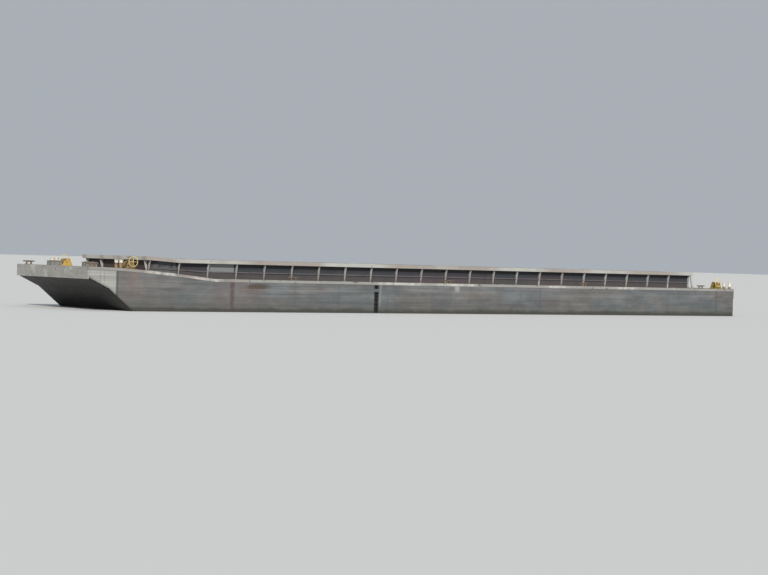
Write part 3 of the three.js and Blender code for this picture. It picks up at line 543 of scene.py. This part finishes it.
def chipped(name, light, dark, chips):
    """Thick paint on cast fittings, chipped to rust."""
    s = Shader(name)
    paint = s.mix(s.noise(4, 4), dark, light)
    level = 0.66 - 0.16 * chips
    rust = s.mix(s.noise(20, 3), DARK_RUST, RUST)
    s.colour(s.layer(paint, rust, 0.92, level, level + 0.04, 9, 6, 0.68))
    s.gloss(7, 4, 0.45, 0.7)
    s.relief((s.noise(30, 5, 0.65), 0.002, 0.6))
    return s


def wire_rope():
    s = Shader("wire_rope", metal=0.5)
    lay = s.noise(1, 2, 0.5, (60, 260, 60))
    s.colour(s.mix(lay, (0.07, 0.052, 0.04), (0.22, 0.18, 0.145)))
    s.gloss(12, 3, 0.45, 0.7)
    s.relief((lay, 0.003, 0.8))
    return s


FINISHES = {
    "hull_side": hull_side(), "hopper_steel": hopper_steel(), "deck_plate": deck_plate(),
    "end_plate": end_paint(), "gunwale": gunwale_paint(), "coaming": coaming_paint(), "rope": wire_rope(),
}
# Slot, name, lighter and darker colour, share of rust, scale of its patches, roughness and metal
for slot, *look in (
    ("hull_bottom", "bottom_paint", (0.03, 0.028, 0.026), (0.014, 0.014, 0.014), 0.3),
    ("stiffener", "stiffener_paint", (0.165, 0.138, 0.142), (0.085, 0.078, 0.084), 0.5, 2),
    ("ladder", "ladder_paint", (0.24, 0.225, 0.2), (0.12, 0.1, 0.085), 0.6, 4),
    ("hatch", "hatch_paint", (0.28, 0.275, 0.26), (0.19, 0.18, 0.165), 0.5, 3),
    ("gear", "gear_grease", (0.075, 0.06, 0.045), (0.035, 0.028, 0.022), 0.3, 9, (0.35, 0.6), 0.6),
    ("bolt", "bolt_steel", (0.17, 0.12, 0.085), (0.08, 0.05, 0.035), 0.7, 12, (0.5, 0.8), 0.4),
):
    FINISHES[slot] = steel(*look)
# Slot, name, lighter and darker colour, share of chips
for slot, *look in (
    ("bitt", "bitt_yellow", (0.62, 0.43, 0.1), (0.48, 0.31, 0.06), 0.45),
    ("bitt_dull", "bitt_ochre", (0.36, 0.25, 0.11), (0.2, 0.13, 0.07), 0.9),
    ("winch_olive", "winch_olive", (0.36, 0.27, 0.06), (0.22, 0.16, 0.035), 0.45),
    ("fitting", "fitting_brown", (0.2, 0.155, 0.105), (0.11, 0.08, 0.055), 0.7),
    ("winch_drum", "drum_iron", (0.34, 0.25, 0.09), (0.2, 0.14, 0.06), 0.7),
    ("handwheel", "wheel_yellow", (0.8, 0.66, 0.3), (0.68, 0.5, 0.14), 0.25),
    ("bitt_top", "bitt_white", (0.76, 0.74, 0.66), (0.62, 0.58, 0.46), 0.3),
):
    FINISHES[slot] = chipped(*look)


# Winches painted otherwise than their slot says
WINCH_PAINTS = {"bow_port": "bitt_dull", "bow_starboard": "bitt", "stern_port": "winch_olive"}


def dress_nodes():
    slots = {entry["node"]: entry["material_slot"] for entry in frame["record"]["subparts"]}
    for name, obj in NODES.items():
        obj.data.materials.clear()
        winch = name.removeprefix("winch_stand_")
        obj.data.materials.append(FINISHES[WINCH_PAINTS.get(winch, slots[name])].material)


# Mesh building

SMOOTH_BELOW = math.radians(35)
BEVEL_ABOVE = math.radians(40)
UP = Vector((0, 0, 1))


def around(count):
    """Angles evenly round a circle."""
    return [2 * math.pi * i / count for i in range(count)]


def turn(angle, length=1, y=0):
    """The point at this angle and distance from the Y axis."""
    return Vector((length * math.cos(angle), y, length * math.sin(angle)))


def oval(centre, long, wide, count):
    """Points round centre, at its height."""
    return [Vector(centre) + Vector((long * math.cos(a), wide * math.sin(a), 0)) for a in around(count)]


def rectangle(x, y, z):
    """Corners at half lengths x and y."""
    return [(-x, -y, z), (x, -y, z), (x, y, z), (-x, y, z)]


class Shape:
    def __init__(self):
        self.verts, self.faces, self.paints = [], [], []

    def rings(self, rings, paint=0, closed=False):
        """Skin over rings of equally many points, with flat ends where it isn't closed."""
        start, count = len(self.verts), len(rings[0])
        faces = []
        for r in range(len(rings) if closed else len(rings) - 1):
            a, b = r * count, (r + 1) % len(rings) * count
            faces += [(a + i, a + (i + 1) % count, b + (i + 1) % count, b + i) for i in range(count)]
        if not closed:
            faces += [range(count)[::-1], range((len(rings) - 1) * count, len(rings) * count)]
        self.verts += [Vector(p) for ring in rings for p in ring]
        self.faces += [tuple(start + i for i in face) for face in faces]
        self.paints += [paint] * len(faces)

    def box(self, low, high, paint=0):
        (x0, y0, z0), (x1, y1, z1) = low, high
        self.rings([[(x0, y0, z), (x1, y0, z), (x1, y1, z), (x0, y1, z)] for z in (z0, z1)], paint)

    def prism(self, outline, y0, y1):
        """An outline of [x, z] points, extruded along Y."""
        self.rings([[(x, y, z) for x, z in outline] for y in (y0, y1)])

    def lathe(self, profile, centre, axis, sides, paint=0, closed=False):
        """Profile of [radius, height] points, turned round an axis through centre."""
        order = {"y": (1, 2, 0), "z": (0, 1, 2)}[axis]
        rings = []
        for radius, height in profile:
            ring = [(radius * math.cos(a), radius * math.sin(a), height) for a in around(sides)]
            rings.append([Vector(centre) + Vector([point[k] for k in order]) for point in ring])
        self.rings(rings, paint, closed)

    def tube(self, path, radius, sides, paint=0, closed=False):
        """A round bar along a path; radius is one number or one for each point."""
        path = [Vector(p) for p in path]
        radii = radius if isinstance(radius, list) else [radius] * len(path)
        rings, side = [], None
        for i, point in enumerate(path):
            before = path[i - 1] if i or closed else path[0]
            after = path[(i + 1) % len(path)] if i + 1 < len(path) or closed else path[-1]
            ahead = (after - before).normalized()
            if side is None:
                side = ahead.orthogonal().normalized()
            side = (side - ahead * side.dot(ahead)).normalized()
            up = ahead.cross(side)
            rings.append([point + (side * math.cos(a) + up * math.sin(a)) * radii[i] for a in around(sides)])
        self.rings(rings, paint, closed)

    def bolt(self, at, size, height, axis="z", way=1):
        """A hexagon nut on a washer, in the second paint."""
        rise, hole = way * height, 0.001
        for sides, profile in (
            (14, ((hole, 0), (size * 1.35, 0), (size * 1.35, rise * 0.2), (hole, rise * 0.2))),
            (6, ((hole, 0), (size, 0), (size, rise * 0.85), (size * 0.8, rise), (hole, rise))),
        ):
            self.lathe(profile, at, axis, sides, 1)

    def weld(self, path, leg, closed=True, paint=0):
        """A fillet weld: a low bead along a path, with ripples."""
        points = []
        for a, b in zip(path, path[1:] + path[:1] if closed else path[1:]):
            a, b = Vector(a), Vector(b)
            steps = max(1, round((b - a).length / 0.05))
            points += [a.lerp(b, k / steps) for k in range(steps)]
        if not closed:
            points.append(Vector(path[-1]))
        radii = [leg * (1 if i % 2 else 0.86) for i in range(len(points))]
        self.tube(points, radii, 6, paint, closed)

    def finish(self, name, body, paints, place=Matrix.Identity(4), bevel=0):
        """The object, turned and set by place, riding on its body."""
        mesh = bpy.data.meshes.new(name)
        mesh.from_pydata([(place @ v) * MODEL_SCALE for v in self.verts], [], self.faces)
        for paint in paints:
            mesh.materials.append(FINISHES[paint].material)
        mesh.polygons.foreach_set("material_index", self.paints)
        shells = bmesh.new()
        shells.from_mesh(mesh)
        bmesh.ops.recalc_face_normals(shells, faces=shells.faces)
        shells.to_mesh(mesh)
        shells.free()
        mesh.shade_smooth()
        mesh.set_sharp_from_angle(angle=SMOOTH_BELOW)
        obj = put_in_scene(name, mesh)
        if bevel:
            bevel_edges(obj, bevel)
        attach(obj, body)
        return obj


def put_in_scene(name, data):
    obj = bpy.data.objects.new(name, data)
    bpy.context.scene.collection.objects.link(obj)
    return obj


def bevel_edges(obj, width):
    modifier = obj.modifiers.new("rounded_edges", "BEVEL")
    modifier.width = width * MODEL_SCALE
    modifier.segments = 2
    modifier.limit_method = "ANGLE"
    modifier.angle_limit = BEVEL_ABOVE
    modifier.harden_normals = True


def seat_of(node, aft=1, out=1):
    """Where a fitting stands: the middle and lean of its flat underside, in real metres.
    aft=-1 turns local X towards the stern and out=-1 turns local Y to starboard."""
    mesh = NODES[node].data
    below = [face for face in mesh.polygons if face.normal.z < -0.95]
    down = max(below, key=lambda face: face.area).normal
    level = [face for face in mesh.polygons if face.normal.dot(down) > 0.9999]
    depth = max(face.center.dot(down) for face in level)
    under = [face for face in level if face.center.dot(down) > depth - 0.0005]
    corners = [mesh.vertices[i].co * REAL for face in under for i in face.vertices]
    middle = Vector([(min(values) + max(values)) / 2 for values in zip(*corners)])
    up = -down.normalized()
    ahead = Vector((0, 1, 0)).cross(up)
    turned = Matrix((ahead * aft, Vector((0, out, 0)), up)).transposed().to_4x4()
    return Matrix.Translation(middle) @ turned


# Fittings, in real metres. A piece that replaces a solid keeps its main sizes

BITT = {"base": (0.42, 1.06, 0.025), "post": 0.125, "spacing": 0.62, "cap": 0.16, "height": 0.56}
# The posts' paint, and the height that their white starts at
BITT_PAINTS = {
    "bow_port": ("bitt_dull", 0.36), "bow_starboard": ("bitt", 0.39),
    "stern_port": ("bitt_dull", 0.17), "stern_starboard": ("bitt_dull", 0.2),
}
KEVEL = {"base": (0.62, 0.19, 0.02), "leg_at": 0.17, "leg": (0.045, 0.04), "horn_z": 0.21, "reach": 0.46}
# Half of a kevel's horn: share of its reach, radius
HORN = (
    (0, 0.055), (0.3, 0.052), (0.5, 0.047), (0.7, 0.041), (0.86, 0.036), (0.95, 0.031), (0.985, 0.022),
    (1, 0.01),
)
GEAR_TEETH, PINION_TEETH = 66, 14
GEAR_MODULE = 0.007
# The pinion's shaft lies from the drum's at 45 degrees, by the radii of both gears
PINION_OFF = (GEAR_TEETH + PINION_TEETH) * GEAR_MODULE / 2 * math.sqrt(0.5)
WINCH = {
    "base": (1, 0.7, 0.024), "drum": (-0.09, 0.3), "pinion": (-0.09 + PINION_OFF, 0.3 + PINION_OFF),
    "shaft": 0.036, "pinion_shaft": 0.024, "shaft_end": 0.29, "flanges": (-0.225, 0.115), "flange": 0.24,
    "flange_plate": 0.02, "wound": 0.165, "gear": (0.165, 0.215), "gear_hub": 0.11, "cheek_out": 0.262,
    "wheel_y": 0.38, "wheel": 0.33, "rim": 0.02, "hub": 0.058, "tie": (0.37, 0.07),
}
# Radius of the wire rope
ROPE = 0.014
HATCH = {"side": 0.76, "lid": 0.82, "height": 0.28, "plate": 0.014}
# A hatch's swing bolts: which way is out, and their place along that edge
DOGS = (
    ((1, 0), (0, -0.22)), ((1, 0), (0, 0.22)), ((0, 1), (-0.2, 0)), ((0, 1), (0.2, 0)),
    ((0, -1), (-0.2, 0)), ((0, -1), (0.2, 0)),
)
# Each side with the sign of its Y, and each end with the way that its winches' X points
SIDES = (("port", 1), ("starboard", -1))
ENDS = (("bow", -1), ("stern", 1))
# The manhole covers on the side decks
COVERS_X = (18.2, 9.1, 2.4, -5.4, -11, -19.2, -23.2)
COVER_Y = 4.86


def make_bitt(node, paint, white_from):
    """paint is the posts' own up to white_from, and white above it."""
    s = Shape()
    long, wide, thick = BITT["base"]
    post, cap, height = BITT["post"], BITT["cap"], BITT["height"]
    s.box((-long / 2, -wide / 2, 0), (long / 2, wide / 2, thick), 1)
    for side in (-1, 1):
        at = (0, side * BITT["spacing"] / 2, 0)
        s.lathe([(post + 0.012, thick), (post + 0.003, thick + 0.012), (post, thick + 0.02),
                 (post, white_from)], at, "z", 36)
        s.lathe([(post, white_from), (post, height - 0.045), (cap - 0.006, height - 0.042),
                 (cap, height - 0.034), (cap, height - 0.012), (cap - 0.01, height - 0.003),
                 (cap - 0.03, height)], at, "z", 36, 2)
        s.weld([p + UP * (thick + 0.004) for p in oval(at, post + 0.006, post + 0.006, 30)], 0.01, True, 1)
    s.weld(rectangle(long / 2, wide / 2, 0.004), 0.009, True, 1)
    piece = s.finish(f"{node}_cast", "hull", (paint, "fitting", "bitt_top"), seat_of(node))
    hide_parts(node)


def make_kevel(node):
    s = Shape()
    long, wide, thick = KEVEL["base"]
    horn_z, reach, corner = KEVEL["horn_z"], KEVEL["reach"], 0.012
    s.box((-long / 2, -wide / 2, 0), (long / 2, wide / 2, thick))
    for side in (-1, 1):
        rings = []
        for z, flare in (
            (thick, 0.028), (thick + 0.02, 0.014), (0.09, 0), (0.14, -0.004), (horn_z - 0.02, 0.012),
        ):
            a, b = [size + flare for size in KEVEL["leg"]]
            edge = (corner - a, -b), (a - corner, -b), (a, corner - b), (a, b - corner)
            x = side * KEVEL["leg_at"]
            rings.append([(x + way * dx, way * dy, z) for way in (1, -1) for dx, dy in edge])
        s.rings(rings)
    horn = [(-k, radius) for k, radius in HORN[:0:-1]] + list(HORN)
    path = [(k * reach, 0, horn_z + 0.018 * abs(k) ** 3) for k, _ in horn]
    s.tube(path, [radius for _, radius in horn], 16)
    s.weld(rectangle(long / 2, wide / 2, 0.003), 0.009)
    piece = s.finish(f"{node}_cast", "hull", ("fitting",), seat_of(node))
    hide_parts(node)


def add_gear(s, teeth, at, first, root, tip, bore, paint):
    """A ring of spur teeth; first is the angle of one tooth's middle."""
    y0, y1 = WINCH["gear"]
    step = 2 * math.pi / teeth
    # Half a tooth's angle at the pitch circle, and how far its flank leans
    half, lean = 0.84 * step / 4, 0.72 / teeth
    foot = half + 1.15 * lean
    tooth = (root, -foot), (tip, lean - half), (tip, half - lean), (root, foot)
    outline = [(radius, first + k * step + angle) for k in range(teeth) for radius, angle in tooth]
    bored = [(bore, angle) for _, angle in outline]
    s.rings([[at + turn(angle, radius, y) for radius, angle in line]
             for line, y in ((outline, y0), (outline, y1), (bored, y1), (bored, y0))], paint, closed=True)


def make_drum(name, seat):
    s = Shape()
    x, z = WINCH["drum"]
    at = Vector((x, 0, z))
    shaft, end, flange, wound = WINCH["shaft"], WINCH["shaft_end"], WINCH["flange"], WINCH["wound"]
    s.lathe([(shaft - 0.006, -end), (shaft, 0.006 - end), (shaft, end - 0.006), (shaft - 0.006, end)],
            at, "y", 24, 1)
    barrel = wound - ROPE * 2
    for y in WINCH["flanges"]:
        top = y + WINCH["flange_plate"]
        s.lathe([(barrel - 0.05, y), (flange - 0.004, y), (flange, y + 0.004), (flange, top - 0.004),
                 (flange - 0.004, top), (barrel - 0.05, top)], at, "y", 56)
    inner, outer = WINCH["flanges"][0] + WINCH["flange_plate"], WINCH["flanges"][1]
    s.lathe([(barrel, inner - 0.002), (barrel, outer + 0.002)], at, "y", 48)

    # One layer of rope, not quite even, and the clamp at its end
    lay, uneven, per_turn = 2.04 * ROPE, 0.0008, 28
    turns = int((outer - inner - 2.2 * ROPE) / lay)
    rope = []
    for i in range(turns * per_turn + 1):
        angle = 2 * math.pi * i / per_turn
        radius = wound - ROPE + uneven * math.sin(1.7 * angle)
        rope.append(at + turn(angle, radius, inner + 1.1 * ROPE + lay * i / per_turn))
    s.tube(rope, ROPE, 8, 2)
    clamp = at + Vector((0.205, outer - 0.012, 0))
    s.box(clamp - Vector((0.02, 0.014, 0.03)), clamp + Vector((0.02, 0.012, 0.03)), 1)

    # The gear: hub, web, six arms and the toothed ring
    y0, y1 = WINCH["gear"]
    hub, middle = WINCH["gear_hub"], (y0 + y1) / 2
    s.lathe([(hub, outer + 0.018), (hub, y0 + 0.012), (hub * 0.62, y0 + 0.014), (hub * 0.62, y1),
             (hub * 0.58, y1 + 0.006), (shaft, y1 + 0.006)], at, "y", 36)
    s.lathe([(hub * 0.6, middle - 0.009), (0.206, middle - 0.009), (0.206, middle + 0.009),
             (hub * 0.6, middle + 0.009)], at, "y", 48)
    for arm in range(6):
        angle = math.radians(60 * arm + 15)
        side = turn(angle + math.pi / 2)
        s.rings([[at + turn(angle, radius, y) + side * dx for dx, y in (
            (-half, y0 + 0.006), (half, y0 + 0.006), (half, y1 - 0.006), (-half, y1 - 0.006))]
            for radius, half in ((hub * 0.6, 0.019), (0.2, 0.014))])
    pitch = GEAR_TEETH * GEAR_MODULE / 2
    add_gear(s, GEAR_TEETH, at, math.radians(45), pitch - 1.25 * GEAR_MODULE, pitch + GEAR_MODULE, 0.198, 3)
    paints = ("winch_drum", "fitting", "rope", "gear")
    piece = s.finish(f"{name}_rope_and_gear", name, paints, seat)
    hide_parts(name)


def make_wheel(name, seat):
    s = Shape()
    x, z = WINCH["pinion"]
    at = Vector((x, 0, z))
    wheel_y, wheel, hub = WINCH["wheel_y"], WINCH["wheel"], WINCH["hub"]
    shaft, end = WINCH["pinion_shaft"], WINCH["shaft_end"]
    s.tube([at + turn(a, wheel, wheel_y) for a in around(56)], WINCH["rim"], 12, 0, True)
    s.lathe([(shaft * 0.8, wheel_y - 0.03), (hub - 0.006, wheel_y - 0.03), (hub, wheel_y - 0.022),
             (hub, wheel_y + 0.018), (hub - 0.008, wheel_y + 0.026), (shaft, wheel_y + 0.028)], at, "y", 28)
    s.bolt(at + Vector((0, wheel_y + 0.027, 0)), 0.026, 0.022, "y")
    for angle in around(4):
        path = [at + turn(angle, radius, wheel_y + dy)
                for radius, dy in ((hub * 0.7, -0.004), (0.12, -0.004), (0.22, -0.001), (wheel, 0))]
        s.tube(path, [0.02, 0.015, 0.012, 0.013], 12)
    s.lathe([(shaft - 0.004, -end), (shaft, -end + 0.004), (shaft, wheel_y - 0.02)], at, "y", 20, 1)
    pitch = PINION_TEETH * GEAR_MODULE / 2
    gap = math.radians(225) + math.pi / PINION_TEETH
    root, tip = pitch - 1.2 * GEAR_MODULE, pitch + 0.92 * GEAR_MODULE
    add_gear(s, PINION_TEETH, at, gap, root, tip, shaft * 0.6, 2)
    piece = s.finish(f"{name}_rim_and_pinion", name, ("handwheel", "fitting", "gear"), seat)
    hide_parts(name)


def make_winch_trim(name, seat, paint):
    """Bearings, bolts, the pawl lifted off the gear and the tie bar's nuts, all on the stand."""
    s = Shape()
    out = WINCH["cheek_out"]
    for (x, z), shaft in ((WINCH["drum"], WINCH["shaft"]), (WINCH["pinion"], WINCH["pinion_shaft"])):
        gap, flange = shaft + 0.004, shaft + 0.034
        for side in (-1, 1):
            at = Vector((x, side * out, z))
            s.lathe([(radius, side * rise) for radius, rise in (
                (gap, -0.002), (flange, -0.002), (flange, 0.008), (gap + 0.012, 0.011), (gap + 0.01, 0.018),
                (gap, 0.018))], at, "y", 30, 0, closed=True)
            for k in range(4):
                foot = turn(math.radians(45 + 90 * k), flange - 0.011, side * 0.007)
                s.bolt(at + foot, 0.007, 0.01, "y", side)
    long, wide, thick = WINCH["base"]
    for dx in (-1, 0, 1):
        for side in (-1, 1):
            s.bolt((dx * (long / 2 - 0.05), side * (wide / 2 - 0.035), thick), 0.019, 0.024)
    tie_x, tie_z = WINCH["tie"]
    for side in (-1, 1):
        s.bolt((tie_x, side * (out - 0.001), tie_z), 0.03, 0.024, "y", side)
    y0, y1 = WINCH["gear"]
    pivot = (0.235, 0, 0.15)
    s.lathe([(0.014, y0 - 0.014), (0.014, out - 0.02)], pivot, "y", 16, 1)
    s.lathe([(0.03, y0 + 0.006), (0.03, y1 - 0.006)], pivot, "y", 20)
    s.prism([(0.213, 0.14), (0.256, 0.152), (0.226, 0.236), (0.184, 0.274), (0.178, 0.262), (0.19, 0.226)],
            y0 + 0.009, y1 - 0.009)
    s.weld(rectangle(long / 2, wide / 2 - 0.004, 0.003), 0.009)
    s.finish(f"{name}_bearings", "hull", (paint, "bolt"), seat, bevel=0.0015)


def dogs(reach, z):
    """Each swing bolt's place at that reach and height, the way out and the way along the edge."""
    for (out_x, out_y), (x, y) in DOGS:
        out = Vector((out_x, out_y, 0))
        yield out * reach + Vector((x, y, z)), out, Vector((-out_y, out_x, 0))


def make_hatch_trim(name, seat):
    """Swing bolts hanging open round the hatch, and the bead welded round its foot."""
    s = Shape()
    half = HATCH["side"] / 2
    for base, out, along in dogs(half, HATCH["height"] - 0.075):
        for side in (-1, 1):
            s.rings([[base + along * (side * 0.016 + w) + out * o + UP * h for o, h in (
                (-0.004, -0.03), (0.036, -0.02), (0.036, 0.014), (-0.004, 0.02))] for w in (-0.004, 0.004)])
        pin = base + out * 0.022
        s.tube([pin - along * 0.028, pin + along * 0.028], 0.006, 10, 1)
        s.tube([pin + UP * 0.008, pin - UP * 0.14], 0.0085, 12, 1)
        nut = (-0.04, 0.124), (-0.014, 0.112), (0.014, 0.112), (0.04, 0.124)
        s.tube([pin - UP * drop + along * w for w, drop in nut], [0.006, 0.013, 0.013, 0.006], 10)
    s.weld(rectangle(half, half, 0.003), 0.01)
    s.finish(f"{name}_dogs", "hull", ("hatch", "bolt"), seat)


def make_lid_trim(name, seat):
    """The turned-down edge's bead and the dog lugs of a hatch lid."""
    s = Shape()
    lid, top = HATCH["lid"] / 2, HATCH["height"] + HATCH["plate"] + 0.0006
    s.tube(rectangle(lid - 0.008, lid - 0.008, top), 0.008, 8, 0, True)
    for place, out, side in dogs(lid, top - 0.006):
        for w in (-0.022, 0.022):
            s.rings([[place + side * (w + a) + out * b + UP * h for a, b in (
                (-0.009, -0.02), (0.009, -0.02), (0.009, 0.018), (-0.009, 0.018))] for h in (0, 0.014)])
    s.finish(f"{name}_edge", name, ("hatch",), seat)


def make_manholes():
    """Bolted oval covers of the side tanks, flush on the side decks."""
    for side, sign in SIDES:
        s = Shape()
        for x in COVERS_X:
            centre = Vector((x, sign * COVER_Y, DECK_Z))
            for long, wide, z0, z1 in ((0.3, 0.235, 0, 0.012), (0.26, 0.195, 0.011, 0.022)):
                s.rings([oval(centre + UP * z, long + grow, wide + grow, 40)
                         for grow, z in ((0, z0), (0, z1 - 0.003), (-0.003, z1))])
            for place in oval(centre + UP * 0.021, 0.232, 0.168, 14):
                s.bolt(place, 0.011, 0.015)
            for dx in (-0.09, 0.09):
                s.tube([centre + Vector((dx, dy, z)) for dy, z in (
                    (-0.05, 0.018), (-0.05, 0.045), (0.05, 0.045), (0.05, 0.018))], 0.006, 8, 1)
        s.finish(f"side_deck_covers_{side}", "hull", ("hatch", "bolt"))


def make_coaming_ends():
    """The leaning posts at the coaming's stern corners, and their foot plates."""
    for side, sign in SIDES:
        s = Shape()
        y, x = sign * (HOPPER_Y + 0.24), HOPPER_STERN - 0.02
        top, low = COAMING_TOP - 0.016, DECK_Z + 0.012
        thick, half, lean = 0.17, 0.06, 0.26
        s.prism([(x, top), (x - thick, top), (x - thick - lean, low), (x - lean, low)], y - half, y + half)
        s.box((x - thick - lean - 0.08, y - 0.14, DECK_Z + 0.001), (x - lean + 0.08, y + 0.14, low + 0.002))
        s.finish(f"coaming_post_{side}", "hull", ("coaming",), bevel=0.006)


def make_stiffeners():
    """An angle bar along each coaming side between deck and rail, and the bead at the coaming's foot."""
    skin = HOPPER_Y + COAMING_PLATE
    out, face, thick = skin + 0.06, 0.075, 0.008
    stern, top = HOPPER_STERN + 0.02, DECK_Z + 0.5
    ends = (stern, top), (SHEER_START, top), (HOPPER_BOW - 0.03, top + 0.46 * FOOT_RISE)
    for side, sign in SIDES:
        s = Shape()
        s.rings([[(x, sign * y, z - drop) for y, drop in (
            (skin, 0), (out, 0), (out, face), (out - thick, face), (out - thick, thick), (skin, thick))]
            for x, z in ends])
        s.weld([(x, sign * skin, DECK_Z + 0.003) for x in (stern, SHEER_START)], 0.009, False)
        s.finish(f"coaming_stiffener_{side}", "hull", ("stiffener",))


def make_pieces():
    for side, sign in SIDES:
        for end, aft in ENDS:
            tag = f"{end}_{side}"
            make_bitt(f"bitt_{tag}", *BITT_PAINTS[tag])
            make_kevel(f"kevel_{tag}")
            seat = seat_of(f"winch_stand_{tag}", aft, sign)
            make_drum(f"winch_drum_{tag}", seat)
            make_wheel(f"winch_wheel_{tag}", seat)
            make_winch_trim(f"winch_stand_{tag}", seat, WINCH_PAINTS.get(tag, "fitting"))
            hatch = seat_of(f"hatch_coaming_{tag}")
            make_hatch_trim(f"hatch_coaming_{tag}", hatch)
            make_lid_trim(f"hatch_lid_{tag}", hatch)
        for number in (1, 2, 3):
            make_kevel(f"kevel_side_{number}_{side}")
    make_manholes()
    make_coaming_ends()
    make_stiffeners()
    for name, node in NODES.items():
        if name.startswith(("winch_stand", "hatch_", "coaming_", "hopper_ladder")):
            bevel_edges(node, 0.003)


# Floor, light and camera

FLOOR_REACH = 600
SUN_FROM = Vector((0.5, 0.68, 0.54))


def make_floor():
    """A plane at the waterline, open where the hull passes through it."""
    aft, fore, side = [v * MODEL_SCALE for v in (STERN_X + 0.2, WATERLINE_BOW - 0.2, SHELL_Y - 0.3)]
    z = WATERLINE * MODEL_SCALE
    corners = rectangle(FLOOR_REACH, FLOOR_REACH, z)
    corners += [(aft, -side, z), (fore, -side, z), (fore, side, z), (aft, side, z)]
    mesh = bpy.data.meshes.new("floor")
    mesh.from_pydata(corners, [], [(i, (i + 1) % 4, 4 + (i + 1) % 4, 4 + i) for i in range(4)])
    mesh.materials.append(Shader("floor_pale", (0.62, 0.62, 0.61), 0.9).material)
    floor = put_in_scene("floor", mesh)


def make_light():
    sun = bpy.data.lights.new("key", "SUN")
    sun.energy = 3.3
    sun.angle = math.radians(4)
    sun.color = (1, 0.97, 0.92)
    lamp = put_in_scene("key", sun)
    lamp.rotation_mode = "QUATERNION"
    lamp.rotation_quaternion = SUN_FROM.to_track_quat("Z", "Y")
    world = bpy.data.worlds.new("studio")
    scene = bpy.context.scene
    scene.world = world
    world.use_nodes = True
    background = world.node_tree.nodes["Background"]
    background.inputs["Color"].default_value = (0.8, 0.86, 0.94, 1)
    background.inputs["Strength"].default_value = 0.5
    scene.view_settings.view_transform = "Standard"


def make_camera():
    data = bpy.data.cameras.new("camera")
    data.lens = CAMERA_LENS
    data.sensor_width = 36
    data.clip_end = 2000
    camera = put_in_scene("camera", data)
    look = (CAMERA_AIM - CAMERA_AT).to_track_quat("-Z", "Y").to_matrix().to_4x4()
    camera.matrix_world = Matrix.Translation(CAMERA_AT) @ look @ Matrix.Rotation(CAMERA_ROLL, 4, "Z")
    bpy.context.scene.camera = camera


make_camera()
make_floor()
make_light()
dress_nodes()
make_pieces()
